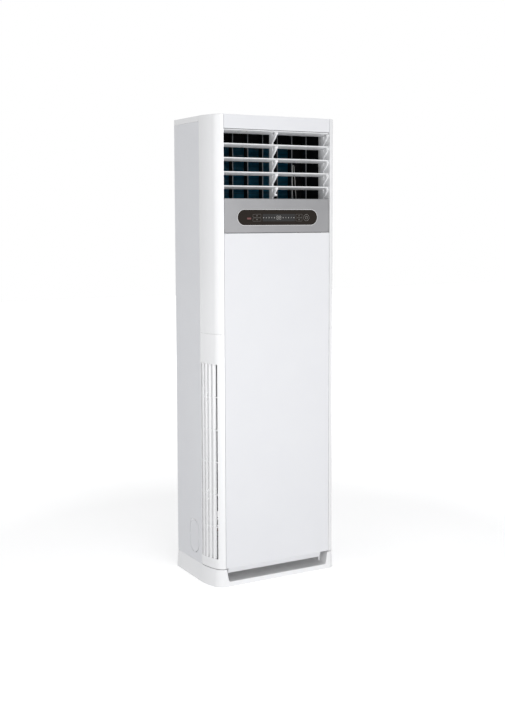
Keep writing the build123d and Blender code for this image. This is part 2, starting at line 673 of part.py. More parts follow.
def front_panel():
    """The tall lower cover, with a lip and a small tab at its bottom."""
    top = PANEL_TOP - SEAM
    panel = panel_shell(PANEL_BOTTOM, top, FRONT, PANEL_BOTTOM, top)
    low = PANEL_BOTTOM - LIP_DROP
    lip_y = FRONT + LIP_DEPTH
    outline = [(FRONT, PANEL_BOTTOM), (lip_y, low), (lip_y + PANEL_WALL, low),
               (FRONT + PANEL_WALL, PANEL_BOTTOM + PANEL_WALL), (FRONT, PANEL_BOTTOM + PANEL_WALL)]
    left = -recess_half(low) + LIP_ROOM
    right = RECESS_FLOOR_HALF - LIP_NOTCH
    lip = slab_x(make_face(Polyline(*outline, close=True)), left, right)
    tab = block(right - LIP_TAB_WIDTH, right, lip_y, lip_y + PANEL_WALL, low - LIP_TAB_DROP, low + LAP)
    return panel + lip + tab


def control_fascia():
    """Metal finished band around the display."""
    face_y = FRONT + BAND_SET_BACK
    top = OUTLET_BOTTOM
    bottom = PANEL_TOP + SEAM
    band = panel_shell(bottom, top, face_y, bottom, top)
    edges = band.faces().sort_by(Axis.Y)[0].edges()
    band = chamfer(edges, min(BAND_BEVEL, PANEL_WALL - SEAM))
    window = pill(PILL_LENGTH + 2 * TOUCH, PILL_HEIGHT + 2 * TOUCH, PILL_Z)
    return band - slab_y(window, FRONT - LAP, FRONT + 3 * PANEL_WALL)


def display_bezel():
    """Polished rim around the display lens, with a flange behind the band."""
    ring = pill(PILL_LENGTH, PILL_HEIGHT, PILL_Z)
    hole = pill(PILL_LENGTH - 2 * PILL_RIM, PILL_HEIGHT - 2 * PILL_RIM, PILL_Z)
    back = FRONT + BAND_SET_BACK + PANEL_WALL
    rim = slab_y(ring, FRONT, back + MOULD_WALL)
    flange = slab_y(pill(PILL_LENGTH + 3 * PANEL_WALL, PILL_HEIGHT + 3 * PANEL_WALL, PILL_Z),
                    back + TOUCH, back + MOULD_WALL)
    return rim + flange - slab_y(hole, FRONT - LAP, back + 2 * MOULD_WALL)


def display_lens():
    """Dark lens with two rails behind it that carry the board."""
    length = PILL_LENGTH - 2 * PILL_RIM - 2 * TOUCH
    height = PILL_HEIGHT - 2 * PILL_RIM - 2 * TOUCH
    face_y = FRONT + BAND_SET_BACK / 2
    lens = slab_y(pill(length, height, PILL_Z), face_y, face_y + LENS_WALL)
    rail_end = face_y + 2 * LENS_WALL
    for sign in (-1, 1):
        z = PILL_Z + sign * (BOARD_HEIGHT / 2 - LENS_WALL)
        half = BOARD_LENGTH / 2 - PILL_HEIGHT / 4
        lens += block(-half, half, face_y, rail_end, z - LENS_WALL / 2, z + LENS_WALL / 2)
    return lens


def display_board():
    """Printed board with its light block, behind the lens."""
    y = FRONT + BAND_SET_BACK / 2 + 2 * LENS_WALL
    half = BOARD_LENGTH / 2
    board = block(-half, half, y, y + BOARD_WALL, PILL_Z - BOARD_HEIGHT / 2, PILL_Z + BOARD_HEIGHT / 2)
    low = PILL_Z - LED_HEIGHT / 2
    board += block(-LED_WIDTH / 2, LED_WIDTH / 2, y - LENS_WALL + FIT, y, low, low + LED_HEIGHT)
    plug = block(half / 2, half / 2 + LED_HEIGHT, y, y + 3 * BOARD_WALL, low, low + LED_HEIGHT / 3)
    return board + plug


# ---------------------------------------------------------------- louvers
def louver_nose_z(index):
    """Height of a blade's front edge."""
    return OUTLET_TOP - LOUVER_TOP_GAP - index * LOUVER_PITCH


def pivot_z(index):
    """Height of a blade's pivot."""
    return louver_nose_z(index) - PIVOT_DROP


def blade_section(index):
    """Section of a blade: a round nose, a slight belly and a thin tail."""
    nose = LOUVER_NOSE / 2
    tail = LOUVER_TAIL / 2
    length = LOUVER_CHORD
    belly = (LOUVER_NOSE + LOUVER_TAIL) / 4
    edges = [ThreePointArc((nose, nose), (0, 0), (nose, -nose)),
             ThreePointArc((nose, -nose), (length / 2, -belly - tail / 2), (length - tail, -tail)),
             ThreePointArc((length - tail, -tail), (length, 0), (length - tail, tail)),
             Line((length - tail, tail), (nose, nose))]
    return Pos(LOUVER_NOSE_Y, louver_nose_z(index)) * Rot(0, 0, -LOUVER_TILT) * make_face(edges)


def lug_section(index):
    """Section of a pivot lug under a blade."""
    z = pivot_z(index)
    top = louver_nose_z(index) - LOUVER_TAIL / 2
    web = rectangle(PIVOT_Y - LUG_R, PIVOT_Y + LUG_R, z, top)
    return Pos(PIVOT_Y, z) * Circle(LUG_R) + web


def link_place(index):
    """Where a blade holds the link bar."""
    return PIVOT_Y + LINK_ARM, pivot_z(index) - LINK_DIP


def arm_notches(index, x0, x1):
    """Room for a support: under the blade round the arm's tip, and through it round the post."""
    z = louver_nose_z(index)
    rear = POST_FRONT + LOUVER_CHORD
    under = block(x0, x1, PIVOT_Y - ARM_TIP_R - 2 * FIT, rear, z - LOUVER_CHORD,
                  z - LOUVER_NOSE / 2 - FIT)
    through = block(x0, x1, POST_FRONT - LUG_R, rear, z - LOUVER_CHORD, z + LOUVER_NOSE)
    return [under, through]


def corner_cut(index):
    """What rounds a blade's left front corner, seen from above."""
    z = louver_nose_z(index)
    end = -(GROOVE_HALF - LOUVER_END_GAP)
    x = end + LOUVER_CORNER_R
    y = LOUVER_NOSE_Y + LOUVER_CORNER_R
    square = block(end - LAP, x, LOUVER_NOSE_Y - LAP, y, z - LOUVER_CHORD, z + LOUVER_CHORD)
    return square - rod_z(x, y, LOUVER_CORNER_R, z - 2 * LOUVER_CHORD, z + 2 * LOUVER_CHORD)


def louver(index):
    """One blade with its pivot lugs, pins and link lug."""
    half = GROOVE_HALF - LOUVER_END_GAP
    lug_end = GROOVE_HALF - END_ARM_WALL - LUG_GAP
    blade = slab_x(blade_section(index), -half, half)
    z = louver_nose_z(index)
    notch_half = ARM_WALL / 2 + 2 * FIT + LUG_WALL / 2
    blade -= arm_notches(index, -notch_half, notch_half)
    blade -= arm_notches(index, -GROOVE_HALF, -lug_end)
    blade -= arm_notches(index, lug_end, GROOVE_HALF)
    blade -= [corner_cut(index), flip(corner_cut(index))]
    inner = ARM_WALL / 2 + FIT
    places = [(-lug_end, -lug_end + LUG_WALL), (lug_end - LUG_WALL, lug_end),
              (-inner - LUG_WALL, -inner), (inner, inner + LUG_WALL)]
    for x0, x1 in places:
        blade += slab_x(lug_section(index), x0, x1)
    pin_z = pivot_z(index)
    blade += rod_x(PIVOT_Y, pin_z, PIVOT_R, -inner, inner)
    end = GROOVE_HALF - TOUCH
    blade += rod_x(PIVOT_Y, pin_z, PIVOT_R, -end, -lug_end)
    blade += rod_x(PIVOT_Y, pin_z, PIVOT_R, lug_end, end)
    link_y, link_z = link_place(index)
    lug = Pos(link_y, link_z) * Circle(LINK_LUG_R)
    lug += rectangle(link_y - LINK_LUG_R, link_y + LINK_LUG_R, link_z,
                     link_z + PIVOT_DROP - LOUVER_NOSE / 2)
    x1 = LINK_X - LINK_BAR_WALL / 2 - FIT
    blade -= block(x1, LINK_X + LINK_BAR_WALL / 2 + 3 * FIT, link_y - LINK_NOTCH,
                   PIVOT_Y + LOUVER_CHORD, z - LOUVER_CHORD, z + LOUVER_NOSE)
    blade += slab_x(lug, x1 - LUG_WALL, x1)
    blade += rod_x(link_y, link_z, LINK_PIN_R, x1, LINK_X + LINK_BAR_WALL / 2 + FIT)
    return blade


def arm_section(index):
    """Section of a sickle arm from its post up to a blade's pivot."""
    z = pivot_z(index)
    root_low = z - ARM_ROOT_LOW * LOUVER_PITCH
    root_high = z - ARM_ROOT_HIGH * LOUVER_PITCH
    near = ARM_TIP_R * math.sin(math.radians(ARM_TIP_TURN))
    far = ARM_TIP_R * math.cos(math.radians(ARM_TIP_TURN))
    tip_front = (PIVOT_Y - near, z - far)
    tip_back = (PIVOT_Y + far, z + near)
    low_middle = (PIVOT_Y + ARM_BEND_LOW, z - ARM_SAG_LOW * LOUVER_PITCH)
    high_middle = (PIVOT_Y + ARM_BEND_HIGH, z - ARM_SAG_HIGH * LOUVER_PITCH)
    behind = POST_FRONT + POST_DEPTH / 4
    edges = [ThreePointArc(tip_front, low_middle, (POST_FRONT, root_low)),
             Line((POST_FRONT, root_low), (behind, root_low)),
             Line((behind, root_low), (behind, root_high)),
             Line((behind, root_high), (POST_FRONT, root_high)),
             ThreePointArc((POST_FRONT, root_high), high_middle, tip_back),
             Line(tip_back, tip_front)]
    return make_face(edges) + Pos(PIVOT_Y, z) * Circle(ARM_TIP_R)


def comb(x0, x1):
    """A post with one sickle arm for each blade."""
    post = block(x0, x1, POST_FRONT, POST_FRONT + POST_DEPTH, DUCT_FLOOR + MOULD_WALL, DUCT_CEILING)
    for index in range(LOUVER_COUNT):
        post += slab_x(arm_section(index), x0, x1)
    for index in range(LOUVER_COUNT):
        post -= rod_x(PIVOT_Y, pivot_z(index), PIVOT_R + TOUCH, x0 - LAP, x1 + LAP)
    return post


def louver_center_post():
    """Middle support with a small stop knob below its last arm."""
    post = comb(-ARM_WALL / 2, ARM_WALL / 2)
    z = pivot_z(LOUVER_COUNT - 1) - KNOB_BELOW * LOUVER_PITCH
    y = PIVOT_Y + POST_DEPTH / 2
    post += rod_x(y, z, KNOB_R, -ARM_WALL / 2, ARM_WALL / 2 + KNOB_R)
    post += block(-ARM_WALL / 2, ARM_WALL / 2, y, POST_FRONT + KNOB_R, z - KNOB_R / 2, z + KNOB_R / 2)
    foot = block(-FOOT_HALF, FOOT_HALF, POST_FRONT, DUCT_FRONT + POST_DEPTH / 2, DUCT_FLOOR,
                 DUCT_FLOOR + MOULD_WALL)
    return post + foot


def louver_side_supports():
    """The two end supports, flat on the outlet's side walls."""
    left = comb(-GROOVE_HALF, -GROOVE_HALF + END_ARM_WALL)
    return group([left, flip(left)])


def louver_link_bar():
    """Upright bar that ties the blades together at their left ends."""
    y, top = link_place(0)
    bottom = link_place(LOUVER_COUNT - 1)[1]
    half = LINK_BAR_WALL / 2
    outline = rectangle(y - LINK_BAR_WIDTH / 2, y + LINK_BAR_WIDTH / 2, bottom, top)
    outline += Pos(y, top) * Circle(LINK_BAR_WIDTH / 2)
    outline += Pos(y, bottom) * Circle(LINK_BAR_WIDTH / 2)
    bar = slab_x(outline, LINK_X - half, LINK_X + half)
    for index in range(LOUVER_COUNT):
        hole_y, hole_z = link_place(index)
        bar -= rod_x(hole_y, hole_z, LINK_PIN_R + TOUCH, LINK_X - 2 * half, LINK_X + 2 * half)
    return bar


# ---------------------------------------------------------------- outlet duct and vanes
def vane_x(index):
    """Sideways place of a vane."""
    return (index - (VANE_COUNT - 1) / 2) * VANE_PITCH


def outlet_duct():
    """Dark duct behind the louvers that carries the vanes."""
    wide = GROOVE_HALF + MOULD_WALL
    outer = block(-wide, wide, DUCT_FRONT, DUCT_REAR, DUCT_FLOOR - MOULD_WALL, DUCT_CEILING + MOULD_WALL)
    inner = block(-GROOVE_HALF, GROOVE_HALF, DUCT_FRONT - LAP, DUCT_REAR + LAP, DUCT_FLOOR,
                  DUCT_CEILING)
    duct = outer - inner
    front_flange = block(-GROOVE_HALF, GROOVE_HALF, SHELF_FRONT + 2 * MOULD_WALL, DUCT_FRONT,
                         DUCT_CEILING, DUCT_CEILING + MOULD_WALL)
    floor_flange = block(-GROOVE_HALF, GROOVE_HALF, SHELF_FRONT + MOULD_WALL + SEAM, DUCT_FRONT,
                         DUCT_FLOOR - MOULD_WALL, DUCT_FLOOR)
    shelf_cut = GROOVE_HALF - SHELF_WIDTH - SEAM
    for sign in (-1, 1):
        outer_x = sign * GROOVE_HALF
        inner_x = sign * shelf_cut
        floor_flange -= block(min(outer_x, inner_x), max(outer_x, inner_x), FRONT,
                              SHELF_FRONT + PILLAR_FLANGE + MOULD_WALL, 0, HEIGHT)
    duct += front_flange + floor_flange
    for index in range(VANE_COUNT):
        duct -= rod_z(vane_x(index), VANE_AXIS, VANE_PIN_R + TOUCH, DUCT_FLOOR - 2 * MOULD_WALL,
                      DUCT_CEILING + 2 * MOULD_WALL)
    duct -= rod_z(CRANK_X, VANE_AXIS, STEPPER_SHAFT_R + TOUCH, DUCT_FLOOR - 2 * MOULD_WALL, OUTLET_BOTTOM)
    return duct


def vane(index):
    """One upright vane with its two pivots and the pin for the link bar."""
    x = vane_x(index)
    rear = VANE_FRONT + VANE_CHORD
    half = VANE_WALL / 2
    blade = block(x - half, x + half, VANE_FRONT + VANE_BEAD_R, rear, VANE_BOTTOM, VANE_TOP)
    blade += rod_z(x, VANE_FRONT + VANE_BEAD_R, VANE_BEAD_R, VANE_BOTTOM, VANE_TOP)
    blade += rod_z(x, VANE_AXIS, VANE_PIN_R, DUCT_FLOOR - MOULD_WALL, VANE_BOTTOM + LAP)
    blade += rod_z(x, VANE_AXIS, VANE_PIN_R, VANE_TOP - LAP, DUCT_CEILING + MOULD_WALL)
    blade += rod_z(x, VANE_AXIS + VANE_CRANK_ARM, LINK_PIN_R, VANE_LINK_BOTTOM, VANE_BOTTOM + LAP)
    return blade


def vane_link_bar():
    """Flat bar under the vanes, which moves them together."""
    end = vane_x(VANE_COUNT - 1)
    y = VANE_AXIS + VANE_CRANK_ARM
    bar = rectangle(-end, end, y - VANE_LINK_WIDTH / 2, y + VANE_LINK_WIDTH / 2)
    for x in (-end, end):
        bar += Pos(x, y) * Circle(VANE_LINK_WIDTH / 2)
    solid = slab_z(bar, VANE_LINK_BOTTOM, VANE_LINK_BOTTOM + VANE_LINK_WALL)
    room = LINK_PIN_R + TOUCH
    for x in [vane_x(index) for index in range(VANE_COUNT)] + [CRANK_X]:
        solid -= rod_z(x, y, room, DUCT_FLOOR - LAP, OUTLET_BOTTOM)
    return solid


def vane_crank():
    """Crank on the stepper's shaft, as long as the vanes' own cranks."""
    low = VANE_LINK_BOTTOM + VANE_LINK_WALL + FIT
    high = low + CRANK_WALL
    y = VANE_AXIS + VANE_CRANK_ARM
    arm = Pos(CRANK_X, VANE_AXIS) * Circle(CRANK_HUB_R) + Pos(CRANK_X, y) * Circle(CRANK_END_R)
    arm += rectangle(CRANK_X - CRANK_END_R, CRANK_X + CRANK_END_R, VANE_AXIS, y)
    crank = slab_z(arm, low, high)
    crank += rod_z(CRANK_X, y, LINK_PIN_R, VANE_LINK_BOTTOM, low + LAP)
    crank += rod_z(CRANK_X, VANE_AXIS, STEPPER_SHAFT_R, DUCT_FLOOR - MOULD_WALL - FIT, low + LAP)
    return crank


def vane_motor():
    """Small gear motor under the duct that swings the vanes."""
    top = DUCT_FLOOR - MOULD_WALL
    socket_r = STEPPER_SHAFT_R + TOUCH
    body = rod_z(CRANK_X, VANE_AXIS, STEPPER_R, top - STEPPER_HEIGHT, top)
    ear = SlotOverall(2 * STEPPER_EAR_REACH + 2 * SCREW_R, 2 * SCREW_R)
    body += slab_z(Pos(CRANK_X, VANE_AXIS) * ear, top - PAN_WALL, top)
    body += block(CRANK_X - STEPPER_R / 2, CRANK_X + STEPPER_R / 2,
                  VANE_AXIS, VANE_AXIS + STEPPER_R + MOULD_WALL,
                  top - STEPPER_HEIGHT, top - STEPPER_HEIGHT / 3)
    for sign in (-1, 1):
        body -= rod_z(CRANK_X + sign * STEPPER_EAR_REACH, VANE_AXIS, SCREW_SHANK_R,
                      top - 2 * PAN_WALL, top + LAP)
    return body - rod_z(CRANK_X, VANE_AXIS, socket_r, top - STEPPER_HEIGHT / 3, top + LAP)


# ---------------------------------------------------------------- sides, rear and top
def left_side_panel():
    """Sheet steel side with a knock-out for pipes."""
    skin = block(-HALF, -SIDE_INNER, FRAME_REAR, REAR, BASE_TOP + SEAM, CAP_BOTTOM - SEAM)
    front = block(-HALF, -HALF + SIDE_FLANGE, FRAME_REAR, FRAME_REAR + SHEET,
                  BASE_TOP + SEAM, CAP_BOTTOM - SEAM)
    rear = block(-HALF, -HALF + SIDE_FLANGE, REAR_FACE - 2 * SHEET, REAR_FACE - SHEET,
                 PAN_HEIGHT + SEAM, CAP_BOTTOM - CAP_SKIRT)
    panel = skin + front + rear
    outer = Pos(KNOCKOUT_Y, KNOCKOUT_Z) * Rot(0, 0, 90) * SlotOverall(KNOCKOUT_HEIGHT, KNOCKOUT_WIDTH)
    inner = Pos(KNOCKOUT_Y, KNOCKOUT_Z) * Rot(0, 0, 90) * SlotOverall(
        KNOCKOUT_HEIGHT - 2 * KNOCKOUT_CUT, KNOCKOUT_WIDTH - 2 * KNOCKOUT_CUT)
    bridge = rectangle(KNOCKOUT_Y - KNOCKOUT_WIDTH, KNOCKOUT_Y + KNOCKOUT_WIDTH,
                       KNOCKOUT_Z - KNOCKOUT_BRIDGE / 2, KNOCKOUT_Z + KNOCKOUT_BRIDGE / 2)
    bridge += rectangle(KNOCKOUT_Y - KNOCKOUT_BRIDGE / 2, KNOCKOUT_Y + KNOCKOUT_BRIDGE / 2,
                        KNOCKOUT_Z - KNOCKOUT_HEIGHT, KNOCKOUT_Z + KNOCKOUT_HEIGHT)
    panel -= slab_x(outer - inner - bridge, -HALF - LAP, -SIDE_INNER + LAP)
    return panel - screw_holes()


def port_outline(extra):
    """The pipe port's rounded rectangle in X and Z, grown by a given width."""
    shape = RectangleRounded(PORT_LENGTH + 2 * extra, PORT_HEIGHT + 2 * extra, PORT_CORNER_R + extra)
    return Pos(PORT_X, PORT_Z) * shape


def rear_panel():
    """Sheet steel back with pressed ribs and the cable hole, and a pipe cover in two halves."""
    half = SIDE_INNER - SEAM
    bottom = BASE_TOP + SEAM
    top = CAP_BOTTOM - SEAM
    panel = block(-half, half, REAR_FACE - SHEET, REAR_FACE, bottom, top)
    left = PORT_X - PORT_LENGTH / 2 - COVER_MARGIN
    right = PORT_X + PORT_LENGTH / 2 + COVER_MARGIN
    cover_top = PORT_Z + PORT_HEIGHT / 2 + COVER_MARGIN
    panel -= block(left - SEAM, right + SEAM, REAR_FACE - 2 * SHEET, REAR_FACE + SHEET,
                   bottom - LAP, cover_top + SEAM)
    port = slab_y(port_outline(0), REAR_FACE - 2 * SHEET, REAR_FACE + SHEET)
    lower = block(left, right, REAR_FACE - SHEET, REAR_FACE, bottom, PORT_Z - SEAM / 2) - port
    upper = block(left, right, REAR_FACE - SHEET, REAR_FACE, PORT_Z + SEAM / 2, cover_top) - port
    low = PORT_Z + PORT_HEIGHT + KNOCKOUT_WIDTH
    high = top - BRACKET_BELOW_TOP - BRACKET_HEIGHT - KNOCKOUT_WIDTH
    for number in range(RIB_COUNT):
        z = low + (high - low) * number / (RIB_COUNT - 1)
        rib = pill(RIB_LENGTH, RIB_HEIGHT, z)
        panel += slab_y(rib, REAR_FACE, REAR_FACE + SHEET)
    panel -= rod_y(GLAND_X, GLAND_Z, GLAND_R, REAR_FACE - 2 * SHEET, REAR_FACE + SHEET)
    return group([panel - screw_holes(), lower, upper])


def rear_grommets():
    """Rubber edging of the pipe port and the cable gland."""
    gap = FIT / 2
    edging = slab_y(port_outline(-gap), REAR_FACE - SHEET - GROMMET_WALL, REAR_FACE + GROMMET_WALL)
    edging += slab_y(port_outline(GROMMET_LIP), REAR_FACE, REAR_FACE + GROMMET_WALL)
    edging -= slab_y(port_outline(-GROMMET_WALL), REAR_FACE - 3 * SHEET, REAR)
    gland = rod_y(GLAND_X, GLAND_Z, GLAND_R - gap, REAR_FACE - 3 * SHEET, REAR_FACE + GROMMET_WALL)
    gland += rod_y(GLAND_X, GLAND_Z, GLAND_R + GROMMET_LIP, REAR_FACE, REAR_FACE + 2 * GROMMET_WALL)
    gland -= rod_y(GLAND_X, GLAND_Z, GLAND_BORE_R, REAR_FACE - 4 * SHEET, REAR)
    return group([edging, gland])


def bracket_middle_z():
    """Height of the wall bracket's middle."""
    return CAP_BOTTOM - BRACKET_BELOW_TOP


def anti_tip_bracket():
    """Plate in the rear recess that screws the cabinet to a wall."""
    z = bracket_middle_z()
    y0 = REAR_FACE
    half = BRACKET_HEIGHT / 2
    plate = block(-BRACKET_HALF, BRACKET_HALF, y0, y0 + BRACKET_WALL, z - half, z + half)
    corners = plate.edges().filter_by(Axis.Y)
    plate = fillet(corners, BRACKET_HEIGHT / 8)
    for x in (-BRACKET_HOLE_PITCH / 2, BRACKET_HOLE_PITCH / 2):
        plate -= rod_y(x, z + half / 2, BRACKET_HOLE_R, y0 - LAP, y0 + 2 * BRACKET_WALL)
    for x, y, screw_z in bracket_screws():
        plate -= rod_y(x, screw_z, SCREW_SHANK_R + FIT, y0 - LAP, y0 + 2 * BRACKET_WALL)
    return plate


def bracket_screws():
    """Places of the two screws that hold the bracket."""
    z = bracket_middle_z() - BRACKET_HEIGHT / 4
    y = REAR_FACE + BRACKET_WALL
    return [(-BRACKET_HOLE_PITCH / 2, y, z), (BRACKET_HOLE_PITCH / 2, y, z)]


def rear_screws():
    """Places of the screws round the rear panel's edge."""
    x = HALF - SIDE_FLANGE / 2
    low = PAN_HEIGHT + SIDE_FLANGE
    high = CAP_BOTTOM - CAP_SKIRT - SIDE_FLANGE
    places = []
    for number in range(REAR_SCREW_ROWS):
        z = low + (high - low) * number / (REAR_SCREW_ROWS - 1)
        places.append((-x, REAR_FACE, z))
        places.append((x, REAR_FACE, z))
    return places


def screw_holes():
    """Clearance holes for every rear screw."""
    holes = []
    for x, y, z in rear_screws() + bracket_screws():
        holes.append(rod_y(x, z, SCREW_SHANK_R + TOUCH, REAR_FACE - SCREW_SHANK, REAR))
    return holes


def panel_screws():
    """All screws that show on the rear."""
    return group([screw_y(*place) for place in rear_screws() + bracket_screws()])


def top_cap():
    """Moulded top cover with a locating rim inside the side panels."""
    plan = footprint() & rectangle(-HALF, HALF, FRAME_REAR, REAR)
    inner = footprint(MOULD_WALL) & rectangle(-HALF, HALF, FRAME_REAR + MOULD_WALL, REAR)
    cap = slab_z(plan, CAP_BOTTOM, HEIGHT) - slab_z(inner, CAP_BOTTOM - LAP, HEIGHT - MOULD_WALL)
    room = SHEET + FIT
    outside = rectangle(-HALF + room, HALF - room, FRAME_REAR + SHEET + FIT, REAR_FACE - SHEET - FIT)
    inside = rectangle(-HALF + room + MOULD_WALL, HALF - room - MOULD_WALL,
                       FRAME_REAR + SHEET + FIT + MOULD_WALL, REAR_FACE - SHEET - FIT - MOULD_WALL)
    rim = slab_z(outside - inside, CAP_BOTTOM - INSULATION, HEIGHT - MOULD_WALL / 2)
    return soften_top(cap + rim)


# ---------------------------------------------------------------- heat exchanger
def chamber_insulation():
    """Foam lining of the heat exchanger's chamber, with a strip that seals the coil's right end."""
    side = SIDE_INNER - FIT
    rear = REAR_FACE - SHEET - FIT
    flange_rear = REAR_FACE - 2 * SHEET - FIT
    low = PARTITION_Z + SHEET
    high = CAP_BOTTOM - INSULATION - SEAM
    front = FRAME_REAR + SHEET + FIT
    lining = block(-side, side, front, rear, low, high)
    lining -= block(-CHAMBER_HALF, CHAMBER_HALF, front - LAP, CHAMBER_REAR, low - LAP, high + LAP)
    for sign in (-1, 1):
        outer = sign * HALF
        inner = sign * (HALF - SIDE_FLANGE - FIT)
        lining -= block(min(outer, inner), max(outer, inner), flange_rear, REAR, low - LAP, high + LAP)
    strip = block(COIL_HALF + SEAM, CHAMBER_HALF + LAP, -INSULATION - SEAM, -SEAM,
                  3 * PAN_TRAY_HEIGHT, COIL_LENGTH)
    lining += coil_frame() * strip
    return lining - screw_holes()


def coil_frame():
    """Moves a piece drawn upright, with its lower front edge at the origin, to the coil's place."""
    return Pos(0, COIL_FRONT, COIL_BOTTOM) * Rot(-COIL_TILT, 0, 0)


def tube_places():
    """Centres of the tubes across the coil and up it, before it is tilted."""
    places = []
    for row in range(TUBE_ROWS):
        for level in range(TUBE_LEVELS):
            shift = TUBE_STAGGER if row % 2 else -TUBE_STAGGER
            z = (level + 0.5 + shift) * TUBE_PITCH
            places.append(((row + 0.5) * TUBE_ROW_PITCH, z))
    return places


def evaporator_fins():
    """The fin pack as one block, bored for the tubes."""
    pack = block(-COIL_HALF, COIL_HALF, 0, COIL_THICK, 0, COIL_LENGTH)
    bores = [rod_x(y, z, TUBE_R + TOUCH, -COIL_HALF - LAP, COIL_HALF + LAP) for y, z in tube_places()]
    return coil_frame() * (pack - bores)


def return_bend(sign, y, z):
    """A half circle of tube that joins two neighbours of one row."""
    radius = TUBE_PITCH / 2
    x = sign * (COIL_HALF + TUBE_END)
    path = CenterArc((0, 0), radius, -90, 180)
    plane = Plane(origin=(x, y, z + radius), x_dir=(sign, 0, 0), z_dir=(0, -sign, 0))
    ring = Plane(origin=(x, y, z), x_dir=(0, 1, 0), z_dir=(sign, 0, 0)) * Circle(TUBE_R)
    return sweep(ring, path=plane * path)


def evaporator_tubes():
    """Copper tubes of the coil with the return bends at both ends."""
    pieces = []
    reach = COIL_HALF + TUBE_END
    places = tube_places()
    for y, z in places:
        pieces.append(rod_x(y, z, TUBE_R, -reach, reach))
    for row in range(TUBE_ROWS):
        column = places[row * TUBE_LEVELS:(row + 1) * TUBE_LEVELS]
        for level in range(TUBE_LEVELS - 1):
            sign = 1 if level % 2 == 0 else -1
            pieces.append(return_bend(sign, *column[level]))
    run = pieces[0]
    for piece in pieces[1:]:
        run += piece
    return coil_frame() * run


def coil_end_plates():
    """Sheet end plates of the coil, with flanges that reach the chamber's lining."""
    plates = []
    for sign in (-1, 1):
        near = sign * (COIL_HALF + TOUCH)
        far = sign * (COIL_HALF + TOUCH + END_PLATE)
        wall = sign * (CHAMBER_HALF - FIT)
        plate = block(min(near, far), max(near, far), 0, COIL_THICK, 0, COIL_LENGTH)
        flange = block(min(far, wall), max(far, wall), COIL_THICK - END_PLATE, COIL_THICK,
                       3 * PAN_TRAY_HEIGHT, COIL_LENGTH)
        for y, z in tube_places():
            plate -= rod_x(y, z, TUBE_R + TOUCH, min(near, far) - LAP, max(near, far) + LAP)
        placed = coil_frame() * (plate + flange)
        placed -= rod_z(PIPE_X, gas_pipe_y(), GAS_R + PIPE_ROOM, TRAY_TOP, HEIGHT)
        plates.append(placed)
    return group(plates)


def coil_point(y, z):
    """Depth and height, in the cabinet, of a point drawn in the upright coil."""
    depth = COIL_FRONT + y * math.cos(TILT) + z * math.sin(TILT)
    height = COIL_BOTTOM - y * math.sin(TILT) + z * math.cos(TILT)
    return depth, height


def manifold(level, radius):
    """Pipe across both rows at one level, with stubs to their open tube ends."""
    places = tube_places()
    first_y, first_z = places[level]
    last_y, last_z = places[TUBE_LEVELS + level]
    middle_z = (first_z + last_z) / 2
    stub_r = TUBE_R - BRAZE_STEP
    pipe = rod_y(PIPE_X, middle_z, radius, first_y - TUBE_R, last_y + TUBE_R)
    for y, z in ((first_y, first_z), (last_y, last_z)):
        pipe += rod_x(y, z, stub_r, PIPE_X, -(COIL_HALF + TUBE_END + TOUCH))
    pipe += rod_z(PIPE_X, first_y, stub_r, min(first_z, middle_z), max(first_z, middle_z))
    pipe += rod_z(PIPE_X, last_y, stub_r, min(last_z, middle_z), max(last_z, middle_z))
    return coil_frame() * pipe


def coil_headers():
    """Gas header at the coil's top and liquid header at its bottom, at the left end."""
    gas_y, gas_z = header_middle(TUBE_LEVELS - 1)
    low_y, low_z = header_middle(0)
    gas = manifold(TUBE_LEVELS - 1, GAS_R + HEADER_WALL)
    gas += rod_z(PIPE_X, gas_y, GAS_R, gas_z - HEADER_STUB, gas_z)
    liquid = manifold(0, LIQUID_R + HEADER_WALL)
    liquid += rod_z(PIPE_X, low_y, LIQUID_R, low_z, low_z + HEADER_STUB)
    return group([gas, liquid])


def header_middle(level):
    """Depth and height of a header's middle."""
    places = tube_places()
    first_y, first_z = places[level]
    last_y, last_z = places[TUBE_LEVELS + level]
    return coil_point((first_y + last_y) / 2, (first_z + last_z) / 2)


def gas_pipe_y():
    """Depth of the gas pipe's long upright run."""
    return header_middle(TUBE_LEVELS - 1)[0]


def drain_pan():
    """Tray that catches water under the coil, with a spout at its right end."""
    half = CHAMBER_HALF - FIT
    tray = block(-half, half, PAN_TRAY_FRONT, PAN_TRAY_REAR, TRAY_BOTTOM, TRAY_BOTTOM + PAN_TRAY_HEIGHT)
    wall = PAN_TRAY_WALL
    tray -= block(-half + wall, half - wall, PAN_TRAY_FRONT + wall, PAN_TRAY_REAR - wall,
                  TRAY_BOTTOM + wall, TRAY_BOTTOM + 2 * PAN_TRAY_HEIGHT)
    spout_end = TRAY_BOTTOM - 2 * DRAIN_R
    tray += rod_z(DRAIN_X, DRAIN_Y, DRAIN_BORE_R - TOUCH, spout_end, TRAY_BOTTOM + wall)
    bore = DRAIN_BORE_R - wall
    return tray - rod_z(DRAIN_X, DRAIN_Y, bore, spout_end - LAP, TRAY_BOTTOM + 2 * wall)


def tube_along(points, turns, outer, bore=0.0):
    """A tube along straight runs joined by tangent arcs."""
    path = FilletPolyline(*points, radius=turns)
    start = path % 0
    ring = Plane(origin=path @ 0, z_dir=start) * Circle(outer)
    solid = sweep(ring, path=path)
    if bore:
        hole = Plane(origin=path @ 0, z_dir=start) * Circle(bore)
        solid -= sweep(hole, path=path)
    return solid


def drain_hose():
    """Hose from the tray's spout down and across to the rear port."""
    top = TRAY_BOTTOM - TOUCH
    turn = 3 * DRAIN_R
    low = PORT_Z + PORT_HEIGHT + 2 * DRAIN_R
    points = [(DRAIN_X, DRAIN_Y, top), (DRAIN_X, DRAIN_Y, low), (DRAIN_END_X, DRAIN_Y, PORT_Z),
              (DRAIN_END_X, FLARE_END, PORT_Z)]
    return tube_along(points, turn, DRAIN_R, DRAIN_BORE_R)


